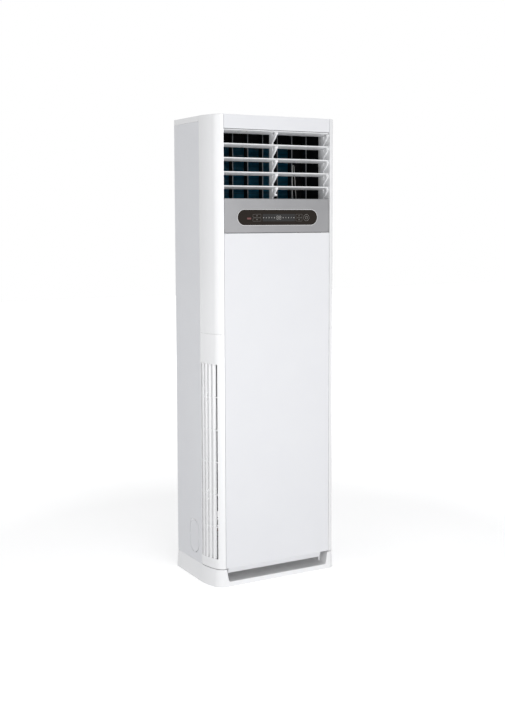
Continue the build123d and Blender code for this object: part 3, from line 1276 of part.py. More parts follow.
def partition_plate():
    """Shelf between the blower and the coil, with a bulkhead for the electrical box."""
    side = SIDE_INNER - FIT
    rear = REAR_FACE - 2 * SHEET - FIT
    front = FRAME_REAR + SHEET + FIT
    plate = block(-side, side, front, rear, PARTITION_Z, PARTITION_Z + SHEET)
    plate += block(-side + SIDE_FLANGE, side - SIDE_FLANGE, BULKHEAD_Y - SHEET, BULKHEAD_Y,
                   PARTITION_Z - BULKHEAD_DROP, PARTITION_Z + SHEET)
    plate += block(-side + SIDE_FLANGE, side - SIDE_FLANGE, BULKHEAD_Y - SHEET, front + LAP,
                   PARTITION_Z, PARTITION_Z + SHEET)
    x0, x1 = scroll_outlet()
    plate -= block(x0, x1, SCROLL_FRONT + SCROLL_WALL, SCROLL_REAR - SCROLL_WALL,
                   PARTITION_Z - LAP, PARTITION_Z + 2 * SHEET)
    plate -= rod_z(DRAIN_X, DRAIN_Y, DRAIN_R + PIPE_ROOM, PARTITION_Z - LAP, PARTITION_Z + 2 * SHEET)
    for y in (gas_pipe_y(), LIQUID_Y):
        plate -= rod_z(PIPE_X, y, GAS_R + PIPE_ROOM, PARTITION_Z - LAP, PARTITION_Z + 2 * SHEET)
    return plate


# ---------------------------------------------------------------- blower
def scroll_outlet():
    """Inner left and right faces of the scroll's outlet."""
    left = SCROLL_X - SCROLL_STEP - (SCROLL_R + 2 * SCROLL_STEP) + SCROLL_WALL
    right = SCROLL_X - SCROLL_TONGUE_R
    return left, right


def scroll_outline(grow):
    """Spiral of three quarter arcs with a straight outlet going up."""
    x = SCROLL_X
    z = SCROLL_Z
    first = SCROLL_R + grow
    second = first + SCROLL_STEP
    third = second + SCROLL_STEP
    tongue = SCROLL_TONGUE_R - grow
    top = PARTITION_Z
    left = x - SCROLL_STEP - third
    edges = [CenterArc((x, z), first, 0, 90),
             CenterArc((x - SCROLL_STEP, z), second, -90, 90),
             CenterArc((x - SCROLL_STEP, z + SCROLL_STEP), third, 180, 90),
             CenterArc((x, z + first + tongue), tongue, 180, 90),
             Line((x - tongue, z + first + tongue), (x - tongue, top)),
             Line((x - tongue, top), (left, top)),
             Line((left, top), (left, z + SCROLL_STEP))]
    return make_face(edges)


def scroll_housing():
    """Blower casing: a spiral wrapper between two plates."""
    casing = slab_y(scroll_outline(0), SCROLL_FRONT, SCROLL_REAR)
    room = slab_y(scroll_outline(-SCROLL_WALL), SCROLL_FRONT + SCROLL_WALL, SCROLL_REAR - SCROLL_WALL)
    casing -= room
    casing -= rod_y(WHEEL_X, WHEEL_Z, BELL_R + BELL_FLARE, SCROLL_FRONT - LAP,
                    SCROLL_FRONT + 2 * SCROLL_WALL)
    casing -= rod_y(WHEEL_X, WHEEL_Z, MOTOR_FLANGE_R + PIPE_ROOM, SCROLL_REAR - 2 * SCROLL_WALL,
                    SCROLL_REAR + LAP)
    for sign in (-1, 1):
        inner = sign * SCROLL_FOOT_IN
        outer = sign * (SIDE_INNER - FIT)
        casing += block(min(inner, outer), max(inner, outer), SCROLL_REAR - SCROLL_WALL, SCROLL_REAR,
                        SCROLL_Z, SCROLL_Z + SCROLL_FOOT_HEIGHT)
    return casing


def on_wheel_axis(profile_face):
    """Turns a profile, drawn with radius along X and depth along Y, about the blower's axis."""
    turned = revolve(profile_face, axis=Axis.Y)
    return Pos(WHEEL_X, 0, WHEEL_Z) * turned


def bell_mouth():
    """Rounded inlet ring in the front of the scroll."""
    wall = SCROLL_WALL
    front = SCROLL_FRONT - wall
    flare = BELL_FLARE
    outer = BELL_R + flare
    inner_arc = CenterArc((outer, front + flare), flare, 180, 90)
    outer_arc = CenterArc((outer, front + flare), flare - wall, 180, 90)
    edges = [inner_arc, Line((outer, front), (outer + flare / 2, front)),
             Line((outer + flare / 2, front), (outer + flare / 2, front + wall)),
             Line((outer + flare / 2, front + wall), (outer, front + wall)), outer_arc,
             Line((BELL_R + wall, front + flare), (BELL_R, front + flare))]
    return on_wheel_axis(make_face(edges))


def wheel_blade(angle):
    """One forward curved blade, placed round the wheel's axis."""
    middle = (WHEEL_R + WHEEL_EYE_R) / 2
    outer = ThreePointArc((-BLADE_HALF, 0), (0, BLADE_BOW), (BLADE_HALF, 0))
    inner = ThreePointArc((-BLADE_HALF, -BLADE_WALL), (0, BLADE_BOW - BLADE_WALL),
                          (BLADE_HALF, -BLADE_WALL))
    sides = [Line((-BLADE_HALF, 0), (-BLADE_HALF, -BLADE_WALL)),
             Line((BLADE_HALF, 0), (BLADE_HALF, -BLADE_WALL))]
    face = make_face([outer, inner] + sides)
    turned = Rot(0, 0, angle) * Pos(middle, 0) * Rot(0, 0, BLADE_LEAN) * face
    return slab_y(turned, WHEEL_FRONT, WHEEL_REAR - WHEEL_WALL / 2)


def blower_wheel():
    """Forward curved wheel with a cup in its back that clears the motor."""
    wall = WHEEL_WALL
    rear = WHEEL_REAR
    hub_end = CUP_FRONT + 2 * HUB_R
    profile = [(0, CUP_FRONT), (CUP_R, CUP_FRONT), (CUP_R, rear - wall), (WHEEL_R, rear - wall),
               (WHEEL_R, rear), (CUP_R - wall, rear), (CUP_R - wall, CUP_FRONT + wall),
               (0, CUP_FRONT + wall)]
    disc = on_wheel_axis(make_face(Polyline(*profile, close=True)))
    ring_outline = rectangle(WHEEL_EYE_R, WHEEL_R + wall, WHEEL_FRONT - wall, WHEEL_FRONT)
    wheel = disc + on_wheel_axis(ring_outline)
    blades = [Pos(WHEEL_X, 0, WHEEL_Z) * wheel_blade(360 * number / BLADE_COUNT)
              for number in range(BLADE_COUNT)]
    wheel += blades
    wheel += rod_y(WHEEL_X, WHEEL_Z, HUB_R, CUP_FRONT - HUB_R, CUP_FRONT + wall)
    return wheel - rod_y(WHEEL_X, WHEEL_Z, SHAFT_R, CUP_FRONT - 2 * HUB_R, hub_end)


def motor_shaft():
    """Steel shaft from the motor's rear bearing to the wheel's hub."""
    nut = rod_y(WHEEL_X, WHEEL_Z, SHAFT_NUT_R, CUP_FRONT - HUB_R - SHAFT_R, CUP_FRONT - HUB_R)
    return nut + rod_y(WHEEL_X, WHEEL_Z, SHAFT_R, CUP_FRONT - HUB_R - SHAFT_R, SCROLL_REAR)


def fan_motor():
    """Motor with end bells and a mounting flange."""
    rear = SCROLL_REAR + MOTOR_FLANGE
    hole_r = SHAFT_R + TOUCH
    shoulder = MOTOR_FRONT + MOTOR_STEP
    profile = [(hole_r, MOTOR_FRONT), (HUB_R, MOTOR_FRONT), (HUB_R + MOTOR_STEP, shoulder),
               (MOTOR_R - MOTOR_STEP, shoulder), (MOTOR_R, shoulder + MOTOR_STEP),
               (MOTOR_R, SCROLL_REAR), (MOTOR_FLANGE_R, SCROLL_REAR), (MOTOR_FLANGE_R, rear),
               (0, rear), (0, SCROLL_REAR + FIT), (hole_r, SCROLL_REAR + FIT)]
    return on_wheel_axis(make_face(Polyline(*profile, close=True)))


def motor_bracket():
    """Ring behind the motor's flange with four arms to the scroll's rear plate."""
    front = SCROLL_REAR + MOTOR_FLANGE
    ring = rod_y(WHEEL_X, WHEEL_Z, BRACKET_RING_R, front, front + MOTOR_BRACKET)
    ring -= rod_y(WHEEL_X, WHEEL_Z, BRACKET_EYE_R, front - LAP, front + 2 * MOTOR_BRACKET)
    for number in range(BRACKET_POSTS):
        angle = 2 * math.pi * (number + 0.5) / BRACKET_POSTS
        x = WHEEL_X + BOLT_CIRCLE_R * math.cos(angle)
        z = WHEEL_Z + BOLT_CIRCLE_R * math.sin(angle)
        ring += rod_y(x, z, BRACKET_POST_R, SCROLL_REAR, front)
    return ring


# ---------------------------------------------------------------- electrical parts
def electrical_box():
    """Steel tray on the bulkhead that holds the boards."""
    box = block(-BOX_HALF, BOX_HALF, BOX_FRONT, BOX_REAR, BOX_BOTTOM, BOX_TOP)
    return box - block(-BOX_HALF + SHEET, BOX_HALF - SHEET, BOX_FRONT - LAP, BOX_REAR - SHEET,
                       BOX_BOTTOM + SHEET, BOX_TOP - SHEET)


def electrical_cover():
    """Cover over the front of the electrical box."""
    room = SHEET + FIT
    front = BOX_FRONT - FIT - SHEET
    cover = block(-BOX_HALF - room, BOX_HALF + room, front, BOX_FRONT + SIDE_FLANGE,
                  BOX_BOTTOM - room, BOX_TOP + room)
    return cover - block(-BOX_HALF - FIT, BOX_HALF + FIT, front + SHEET, BOX_FRONT + 2 * SIDE_FLANGE,
                         BOX_BOTTOM - FIT, BOX_TOP + FIT)


def main_board():
    """Control board on four stand-offs, with a relay row and a transformer."""
    back = BOX_REAR - SHEET
    y = back - BOARD_STAND
    x0 = -BOX_HALF + SIDE_FLANGE
    x1 = x0 + MAIN_BOARD_LENGTH
    z0 = BOX_TOP - SIDE_FLANGE - MAIN_BOARD_HEIGHT
    z1 = z0 + MAIN_BOARD_HEIGHT
    board = block(x0, x1, y - BOARD_WALL, y, z0, z1)
    inset = SIDE_FLANGE / 2
    for x in (x0 + inset, x1 - inset):
        for z in (z0 + inset, z1 - inset):
            board += rod_y(x, z, SCREW_R, y, back)
    pitch = (MAIN_BOARD_LENGTH - 2 * SIDE_FLANGE) / RELAY_COUNT
    for number in range(RELAY_COUNT):
        x = x0 + SIDE_FLANGE + (number + 0.5) * pitch
        board += block(x - pitch / 3, x + pitch / 3, y - BOARD_WALL - SIDE_FLANGE, y, z0 + inset,
                       z0 + inset + SIDE_FLANGE)
    middle = (z0 + z1) / 2
    board += block(x0 + 2 * SIDE_FLANGE, x0 + 5 * SIDE_FLANGE, y - 3 * SIDE_FLANGE, y, middle - inset,
                   middle + 2.5 * SIDE_FLANGE)
    return board


def terminal_block():
    """Power terminals at the box's lower right."""
    back = BOX_REAR - SHEET
    x1 = BOX_HALF - SIDE_FLANGE
    x0 = x1 - TERMINAL_LENGTH
    z0 = BOX_BOTTOM + SIDE_FLANGE
    block_solid = block(x0, x1, back - TERMINAL_DEPTH, back, z0, z0 + TERMINAL_HEIGHT)
    pitch = TERMINAL_LENGTH / TERMINAL_WAYS
    for number in range(TERMINAL_WAYS):
        x = x0 + (number + 0.5) * pitch
        block_solid -= rod_y(x, z0 + TERMINAL_HEIGHT / 2, pitch / 3, back - TERMINAL_DEPTH - LAP,
                             back - TERMINAL_DEPTH / 2)
    return block_solid


def run_capacitor():
    """Fan capacitor, clipped flat to the box's back."""
    back = BOX_REAR - SHEET
    x = BOX_HALF - SIDE_FLANGE - TERMINAL_LENGTH / 2
    z0 = BOX_TOP - SIDE_FLANGE - CAPACITOR_LENGTH
    can = rod_z(x, back - CAPACITOR_R, CAPACITOR_R, z0, z0 + CAPACITOR_LENGTH)
    can += rod_z(x, back - CAPACITOR_R, CAPACITOR_R / 2, z0 + CAPACITOR_LENGTH,
                 z0 + CAPACITOR_LENGTH + BOARD_STAND)
    strap_low = z0 + CAPACITOR_LENGTH / 3
    strap = block(x - CAPACITOR_R * 1.5, x + CAPACITOR_R * 1.5, back - SHEET, back, strap_low,
                  strap_low + SIDE_FLANGE)
    return can + strap


# ---------------------------------------------------------------- refrigerant pipes
def pipe_route(start, upright_y, low_y, end_x):
    """Route of one pipe from its header: down behind the coil, forward, then out to the rear port."""
    down = [(PIPE_X, upright_y, PIPE_BEND_TOP), (PIPE_X, low_y, PIPE_BEND_LOW), (PIPE_X, low_y, PORT_Z),
            (end_x, low_y, PORT_Z), (end_x, FLARE_END - FLARE_LENGTH, PORT_Z)]
    return start + down


def refrigerant_pipes():
    """Gas and liquid pipes inside the cabinet."""
    header_y, header_z = header_middle(TUBE_LEVELS - 1)
    gas_start = [(PIPE_X, header_y, header_z - HEADER_STUB - TOUCH)]
    gas = tube_along(pipe_route(gas_start, header_y, GAS_LOW_Y, GAS_X), 3 * GAS_R, GAS_R)
    low_y, low_z = header_middle(0)
    start_z = low_z + HEADER_STUB + TOUCH
    over = start_z + 3 * LIQUID_R
    liquid_start = [(PIPE_X, low_y, start_z), (PIPE_X, low_y, over),
                    (PIPE_X, LIQUID_Y, over)]
    liquid = tube_along(pipe_route(liquid_start, LIQUID_Y, LIQUID_LOW_Y, LIQUID_X), 2.5 * LIQUID_R, LIQUID_R)
    return group([gas, liquid])


def flare_fittings():
    """Flare unions on the two pipes' ends, inside the rear port."""
    fittings = []
    for x, radius, thread in ((GAS_X, GAS_R, GAS_THREAD_R), (LIQUID_X, LIQUID_R, LIQUID_THREAD_R)):
        start = FLARE_END - FLARE_LENGTH
        stub = rod_y(x, PORT_Z, thread, start, FLARE_END)
        hexagon = Pos(x, PORT_Z) * RegularPolygon(thread * NUT_SPREAD, 6)
        nut = slab_y(hexagon, start - NUT_LENGTH, start)
        nut -= rod_y(x, PORT_Z, radius + TOUCH, start - 2 * NUT_LENGTH, start)
        fittings.append(stub + nut)
    return group(fittings)


# ---------------------------------------------------------------- write every node
def build_parts():
    """Every node of the air conditioner by name."""
    left_panel = left_side_panel()
    grille = intake_grille()
    air_filter = filter_frame()
    nodes = {
        "base_skirt": base_skirt(),
        "base_pan": base_pan(),
        "left_side_panel": left_panel,
        "right_side_panel": flip(left_panel),
        "rear_panel": rear_panel(),
        "top_cap": top_cap(),
        "upper_front_frame": upper_front_frame(),
        "header_panel": header_panel(),
        "left_intake_grille": grille,
        "right_intake_grille": flip(grille),
        "left_filter": air_filter,
        "right_filter": flip(air_filter),
        "front_panel": front_panel(),
        "control_fascia": control_fascia(),
        "display_bezel": display_bezel(),
        "display_lens": display_lens(),
        "display_board": display_board(),
        "louver_center_post": louver_center_post(),
        "louver_side_supports": louver_side_supports(),
        "louver_link_bar": louver_link_bar(),
        "outlet_duct": outlet_duct(),
        "vane_link_bar": vane_link_bar(),
        "vane_crank": vane_crank(),
        "vane_motor": vane_motor(),
        "chamber_insulation": chamber_insulation(),
        "evaporator_fins": evaporator_fins(),
        "evaporator_tubes": evaporator_tubes(),
        "coil_end_plates": coil_end_plates(),
        "coil_headers": coil_headers(),
        "drain_pan": drain_pan(),
        "drain_hose": drain_hose(),
        "partition_plate": partition_plate(),
        "scroll_housing": scroll_housing(),
        "bell_mouth": bell_mouth(),
        "blower_wheel": blower_wheel(),
        "motor_shaft": motor_shaft(),
        "fan_motor": fan_motor(),
        "motor_bracket": motor_bracket(),
        "electrical_box": electrical_box(),
        "electrical_cover": electrical_cover(),
        "main_board": main_board(),
        "terminal_block": terminal_block(),
        "run_capacitor": run_capacitor(),
        "refrigerant_pipes": refrigerant_pipes(),
        "flare_fittings": flare_fittings(),
        "rear_grommets": rear_grommets(),
        "anti_tip_bracket": anti_tip_bracket(),
        "panel_screws": panel_screws(),
    }
    for index in range(LOUVER_COUNT):
        nodes[f"louver_{index + 1}"] = louver(index)
    for index in range(VANE_COUNT):
        nodes[f"vane_{index + 1}"] = vane(index)
    return nodes


os.makedirs("parts", exist_ok=True)
for name, shape in build_parts().items():
    shape.label = name
    export_step(shape, f"parts/{name}.step")
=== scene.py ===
import json
import math
import bmesh
import bpy
from mathutils import Matrix, Vector


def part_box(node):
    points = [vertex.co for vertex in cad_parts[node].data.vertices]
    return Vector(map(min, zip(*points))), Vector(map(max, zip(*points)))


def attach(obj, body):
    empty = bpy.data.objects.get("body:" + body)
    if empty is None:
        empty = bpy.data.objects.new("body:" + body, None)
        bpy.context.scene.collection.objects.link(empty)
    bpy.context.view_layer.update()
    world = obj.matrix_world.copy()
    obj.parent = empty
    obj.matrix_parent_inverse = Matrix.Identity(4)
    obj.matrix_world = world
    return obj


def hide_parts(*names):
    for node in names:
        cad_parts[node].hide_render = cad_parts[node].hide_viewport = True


# Looks of a floor standing air conditioner. Metres, +X right, +Y to the rear, +Z up.

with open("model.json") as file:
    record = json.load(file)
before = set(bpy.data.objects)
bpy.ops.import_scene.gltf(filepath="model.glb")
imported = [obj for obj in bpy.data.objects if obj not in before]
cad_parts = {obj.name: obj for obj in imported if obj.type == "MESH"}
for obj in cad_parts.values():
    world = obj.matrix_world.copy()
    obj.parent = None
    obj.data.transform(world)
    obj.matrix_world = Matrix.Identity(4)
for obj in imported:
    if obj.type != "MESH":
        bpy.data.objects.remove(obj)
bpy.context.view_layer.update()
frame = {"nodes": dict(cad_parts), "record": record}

# ---------------------------------------------------------------- camera, as fitted to the photograph
IMAGE_WIDTH = 505
IMAGE_HEIGHT = 704
FOCAL_PIXELS = 1083.2
AXIS_PIXEL = (269.7, 322.6)         # where the lens axis meets the image
CAMERA_PLACE = Vector((-2.0509, -3.7412, 1.4025))
CAMERA_YAW = 0.5127                 # radians to the right of straight ahead
CAMERA_PITCH = 0.0968               # radians downward
CAMERA_ROLL = 0.0018
SENSOR = 36.0

# ---------------------------------------------------------------- light
WHITE = (1.0, 1.0, 1.0, 1.0)
WORLD_TINT = (0.985, 0.99, 1.0, 1.0)
WORLD_LEVEL = 0.50                  # strength of the white surroundings as light
KEY_LEVEL = 72.0                    # watts, as is the fill's
KEY_SIZE = (3.0, 3.0)
KEY_PLACE = (-0.5, -3.6, 1.15)
FILL_LEVEL = 18.0
FILL_SIZE = (3.0, 2.6)
FILL_PLACE = (-3.2, -1.6, 1.2)
FLOOR_GLOW = 0.42                   # share of the floor's white that is seen whatever the light
GLOW_START = 1.2                    # distance from the middle at which that share begins to rise
GLOW_FULL = 4.0                     # and at which the floor is as white as the background
FLOOR_HALF = 14.0
CABINET_MIDDLE = (0.0, 0.0, 0.95)

# ---------------------------------------------------------------- marks on the display lens
PRINT_WALL = 0.00012                # printed marks stand this far out of the lens
PRINT_LINE = 0.0007
ARC_STEPS = 10                      # pieces of a quarter circle
DISC_CORNER = 0.98                  # corner radius of a small disc, as a share of its half width
RING_ROOM = PRINT_LINE / 10         # a round key's corners stop this much short of a full circle

DISPLAY_Z = 1.4015                  # height of the row of display marks
WINDOW_X = 0.0035
WINDOW_HALF_WIDTH = 0.0705
WINDOW_HALF_HEIGHT = 0.0140
WINDOW_CORNER = 0.0020
WINDOW_RAISED = 0.4                 # share of PRINT_WALL, so that it lies under the marks

DIGIT_PLACES = (-0.0025, 0.0085)
DIGIT_HEIGHT = 0.0150
DIGIT_WIDTH = 0.0086
DIGIT_STROKE = 0.0016

ROW_PITCH = 0.0118                  # between the small marks beside the digits
ROW_SIDE_COUNT = 5
ROW_LEFT_START = -0.0160
ROW_RIGHT_START = 0.0220
MARK_R = 0.0022
SMALL_MARK_R = 0.0017               # every second mark

LEFT_KEYS_X = -0.0915
LEFT_KEYS_HALF_WIDTH = 0.0175
RIGHT_KEYS_X = 0.0920
RIGHT_KEYS_HALF_WIDTH = 0.0140
KEY_HALF_HEIGHT = 0.0062
KEY_GAP = 0.0018
KEY_CORNER = 0.0026
ARROW_HALF_WIDTH = 0.0034
ARROW_RISE = 0.0026                 # of its tip over the key's middle

POWER_X = 0.1250
POWER_R = 0.0125
POWER_MARK_SHARE = 0.45             # the broken ring's radius, as a share of the key's
POWER_MARK_LINE = 1.2 * PRINT_LINE
POWER_GAP_SHARE = 0.4               # half of the gap, as a share of the broken ring's radius
POWER_STROKE_RISE = 0.8             # middle of the upright stroke, as a share of that radius
POWER_STROKE_HALF = 0.5             # and half its length

RECEIVER_X = -0.1250
RECEIVER_DROP = 0.0030
RECEIVER_HALF_WIDTH = 0.0085
RECEIVER_HALF_HEIGHT = 0.0034
RECEIVER_CORNER = 0.0016

# ---------------------------------------------------------------- coil, vanes and lead
FIN_PITCH = 0.0021
FIN_WALL = 0.00012
FIN_RIPPLES = 4
FIN_RIPPLE = 0.00022
COIL_DEPTH = 0.044
COIL_TILT = math.radians(12.0)

VANE_HIGHLIGHT_START = 0.05              # share of a vane's depth that its painted highlight, a grey front edge, takes
VANE_HIGHLIGHT_END = 0.10

LEAD_R = 0.0009                     # white lead of the coil's sensor, hanging in front of the coil
LEAD_LEFT = 0.158
LEAD_RIGHT = 0.176
LEAD_Y = -0.003
LEAD_LOW = 1.4625
LEAD_HIGH = 1.608
LEAD_TURN_R = 0.0035
LEAD_SIDES = 8
REARWARD = Vector((0.0, 1.0, 0.0))

# ---------------------------------------------------------------- grain shared by the materials
DRIFT_CELLS = 6.0                   # noise cells per metre of the slow colour drift
PATCH_CELLS = 35.0                  # and of the patchy roughness
NOISE_LOW = 0.3                     # the stretch of the noise over which a value changes
NOISE_HIGH = 0.7
NOISE_DETAIL = 3.0
GRAIN_DETAIL = 2.0
COAT_ROUGHNESS = 0.12
EVEN = (1.0, 1.0, 1.0)              # grain that isn't stretched along an axis


# ---------------------------------------------------------------- material helpers
def new_material(name):
    """A node material with its tree and its shader."""
    material = bpy.data.materials.new(name)
    material.use_nodes = True
    tree = material.node_tree
    return material, tree, tree.nodes["Principled BSDF"]


def place_noise(tree, scale, detail=NOISE_DETAIL, stretch=EVEN):
    """Noise fixed to the object; scale is in cells per metre."""
    place = tree.nodes.new("ShaderNodeTexCoord")
    mapping = tree.nodes.new("ShaderNodeMapping")
    mapping.inputs["Scale"].default_value = stretch
    noise = tree.nodes.new("ShaderNodeTexNoise")
    noise.inputs["Scale"].default_value = scale
    noise.inputs["Detail"].default_value = detail
    tree.links.new(place.outputs["Object"], mapping.inputs["Vector"])
    tree.links.new(mapping.outputs["Vector"], noise.inputs["Vector"])
    return noise.outputs["Fac"]


def place_cells(tree, scale):
    """Distance to the nearest cell's middle, fixed to the object; scale is in cells per metre."""
    place = tree.nodes.new("ShaderNodeTexCoord")
    cells = tree.nodes.new("ShaderNodeTexVoronoi")
    cells.inputs["Scale"].default_value = scale
    tree.links.new(place.outputs["Object"], cells.inputs["Vector"])
    return cells.outputs["Distance"]


def shade_between(tree, shader, factor, low, high, start=NOISE_LOW, end=NOISE_HIGH):
    """Colour that goes from low to high as the factor goes from start to end."""
    ramp = tree.nodes.new("ShaderNodeValToRGB")
    ramp.color_ramp.elements[0].position = start
    ramp.color_ramp.elements[0].color = (*low, 1.0)
    ramp.color_ramp.elements[1].position = end
    ramp.color_ramp.elements[1].color = (*high, 1.0)
    tree.links.new(factor, ramp.inputs["Fac"])
    tree.links.new(ramp.outputs["Color"], shader.inputs["Base Color"])


def rough_between(tree, shader, factor, low, high):
    """Roughness that wanders between two values."""
    spread = tree.nodes.new("ShaderNodeMapRange")
    spread.inputs["From Min"].default_value = NOISE_LOW
    spread.inputs["From Max"].default_value = NOISE_HIGH
    spread.inputs["To Min"].default_value = low
    spread.inputs["To Max"].default_value = high
    tree.links.new(factor, spread.inputs["Value"])
    tree.links.new(spread.outputs["Result"], shader.inputs["Roughness"])


def raise_by(tree, shader, factor, depth):
    """Fine relief; depth is in metres."""
    bump = tree.nodes.new("ShaderNodeBump")
    bump.inputs["Distance"].default_value = depth
    bump.inputs["Strength"].default_value = 1.0
    tree.links.new(factor, bump.inputs["Height"])
    tree.links.new(bump.outputs["Normal"], shader.inputs["Normal"])


def surface(name, low, high, rough, grain, depth, metallic=0.0, coat=0.0, stretch=EVEN, specular=0.5):
    """The common build: slow colour drift, patchy roughness and fine grain."""
    material, tree, shader = new_material(name)
    shade_between(tree, shader, place_noise(tree, DRIFT_CELLS), low, high)
    rough_between(tree, shader, place_noise(tree, PATCH_CELLS), *rough)
    raise_by(tree, shader, place_noise(tree, grain, GRAIN_DETAIL, stretch), depth)
    shader.inputs["Metallic"].default_value = metallic
    shader.inputs["Specular IOR Level"].default_value = specular
    shader.inputs["Coat Weight"].default_value = coat
    shader.inputs["Coat Roughness"].default_value = COAT_ROUGHNESS
    return material


# ---------------------------------------------------------------- materials, one for each slot
def gloss_white():
    """Glossy moulded plastic with a faint orange peel."""
    return surface("gloss_white", low=(0.870, 0.873, 0.883), high=(0.888, 0.891, 0.899),
                   rough=(0.20, 0.27), grain=420.0, depth=0.00002, coat=0.45)


def panel_white():
    """Satin paint on a flat front panel."""
    return surface("panel_white", low=(0.766, 0.771, 0.796), high=(0.780, 0.785, 0.808),
                   rough=(0.36, 0.44), grain=700.0, depth=0.00002)


def side_grey():
    """Powder coat on sheet steel."""
    return surface("side_grey", low=(0.790, 0.798, 0.824), high=(0.806, 0.814, 0.839),
                   rough=(0.44, 0.52), grain=1100.0, depth=0.00003)


def brushed_silver():
    """Metal look band, brushed along its length."""
    return surface("brushed_silver", low=(0.268, 0.268, 0.276), high=(0.290, 0.290, 0.298),
                   rough=(0.34, 0.42), grain=900.0, depth=0.00002, metallic=0.9, stretch=(0.02, 1.0, 1.0))


def polished_rim():
    """Polished rim with hairline marks."""
    return surface("polished_rim", low=(0.74, 0.74, 0.75), high=(0.80, 0.80, 0.81),
                   rough=(0.10, 0.18), grain=1400.0, depth=0.00001, metallic=1.0, stretch=(0.1, 1.0, 1.0))


def dark_lens():
    """Dark brown display window, faintly smoky, with an anti-glare finish."""
    return surface("dark_lens", low=(0.013, 0.009, 0.006), high=(0.017, 0.012, 0.009),
                   rough=(0.16, 0.24), grain=260.0, depth=0.000005, specular=0.17)


def louver_white():
    """White moulded blades, a little cooler than the pillars."""
    return surface("louver_white", low=(0.870, 0.875, 0.888), high=(0.886, 0.891, 0.902),
                   rough=(0.26, 0.34), grain=500.0, depth=0.00002, coat=0.1)


def black_plastic():
    """Black moulded duct with a fine texture."""
    return surface("black_plastic", low=(0.004, 0.004, 0.005), high=(0.008, 0.008, 0.009),
                   rough=(0.42, 0.55), grain=1300.0, depth=0.00006, specular=0.2)


def vane_with_painted_highlight():
    """Black vanes with a painted highlight: their rounded front edges are painted a dull grey."""
    material, tree, shader = new_material("vane_with_painted_highlight")
    place = tree.nodes.new("ShaderNodeTexCoord")
    split = tree.nodes.new("ShaderNodeSeparateXYZ")
    tree.links.new(place.outputs["Generated"], split.inputs["Vector"])
    # painted highlight: grey at each vane's front edge, black further back
    shade_between(tree, shader, split.outputs["Y"], low=(0.15, 0.155, 0.165), high=(0.006, 0.006, 0.007),
                  start=VANE_HIGHLIGHT_START, end=VANE_HIGHLIGHT_END)
    rough_between(tree, shader, place_noise(tree, PATCH_CELLS), low=0.28, high=0.38)
    raise_by(tree, shader, place_noise(tree, scale=900.0), depth=0.00002)
    shader.inputs["Specular IOR Level"].default_value = 0.25
    return material


def black_foam():
    """Closed cell foam lining: pitted and dull."""
    material, tree, shader = new_material("black_foam")
    shade_between(tree, shader, place_noise(tree, scale=60.0), low=(0.003, 0.003, 0.004),
                  high=(0.007, 0.007, 0.008))
    rough_between(tree, shader, place_noise(tree, scale=90.0), low=0.86, high=0.96)
    raise_by(tree, shader, place_cells(tree, scale=700.0), depth=0.0004)
    shader.inputs["Specular IOR Level"].default_value = 0.15
    return material


def fin_coating():
    """Blue-green coated aluminium fins, with level streaks in the coating."""
    material, tree, shader = new_material("fin_coating")
    streaks = place_noise(tree, scale=150.0, stretch=(0.03, 1.0, 1.0))
    shade_between(tree, shader, streaks, low=(0.003, 0.085, 0.170), high=(0.016, 0.270, 0.440))
    rough_between(tree, shader, place_noise(tree, PATCH_CELLS), low=0.30, high=0.44)
    raise_by(tree, shader, place_noise(tree, scale=800.0, detail=GRAIN_DETAIL), depth=0.00003)
    shader.inputs["Metallic"].default_value = 0.35
    return material


def copper_tube():
    """Bare copper, tarnished in patches."""
    material, tree, shader = new_material("copper_tube")
    tarnish = place_noise(tree, scale=28.0, detail=5.0)
    shade_between(tree, shader, tarnish, low=(0.40, 0.17, 0.09), high=(0.72, 0.37, 0.23))
    rough_between(tree, shader, place_noise(tree, scale=45.0), low=0.24, high=0.48)
    raise_by(tree, shader, place_noise(tree, scale=900.0), depth=0.00003)
    shader.inputs["Metallic"].default_value = 1.0
    return material


def brass_fitting():
    """Turned brass with fine tool marks."""
    return surface("brass_fitting", low=(0.58, 0.42, 0.16), high=(0.70, 0.53, 0.24),
                   rough=(0.20, 0.32), grain=1500.0, depth=0.00004, metallic=1.0, stretch=(0.2, 1.0, 0.2))


def galvanised():
    """Galvanised sheet with its spangle."""
    material, tree, shader = new_material("galvanised")
    spangle = place_cells(tree, scale=85.0)
    shade_between(tree, shader, spangle, low=(0.50, 0.51, 0.53), high=(0.62, 0.63, 0.65))
    rough_between(tree, shader, spangle, low=0.30, high=0.48)
    raise_by(tree, shader, place_noise(tree, scale=300.0), depth=0.00002)
    shader.inputs["Metallic"].default_value = 0.9
    return material


def motor_grey():
    """Dark enamel on the motor."""
    return surface("motor_grey", low=(0.045, 0.048, 0.052), high=(0.065, 0.068, 0.073),
                   rough=(0.34, 0.46), grain=500.0, depth=0.00006)


def shaft_steel():
    """Ground steel and plated screws."""
    return surface("shaft_steel", low=(0.54, 0.54, 0.55), high=(0.66, 0.66, 0.67),
                   rough=(0.20, 0.32), grain=1600.0, depth=0.00002, metallic=1.0)


def white_plastic():
    """Plain white nylon and hose."""
    return surface("white_plastic", low=(0.74, 0.74, 0.72), high=(0.80, 0.80, 0.78),
                   rough=(0.44, 0.56), grain=600.0, depth=0.00005)


def filter_mesh():
    """Dark woven filter net."""
    return surface("filter_mesh", low=(0.16, 0.17, 0.185), high=(0.22, 0.23, 0.245),
                   rough=(0.62, 0.76), grain=1800.0, depth=0.00020)


def board_green():
    """Printed board with its lacquer."""
    return surface("board_green", low=(0.012, 0.11, 0.045), high=(0.022, 0.17, 0.075),
                   rough=(0.26, 0.36), grain=240.0, depth=0.00008)


def rubber_black():
    """Moulded rubber, slightly bloomed."""
    return surface("rubber_black", low=(0.014, 0.014, 0.014), high=(0.030, 0.030, 0.029),
                   rough=(0.62, 0.80), grain=900.0, depth=0.00010)


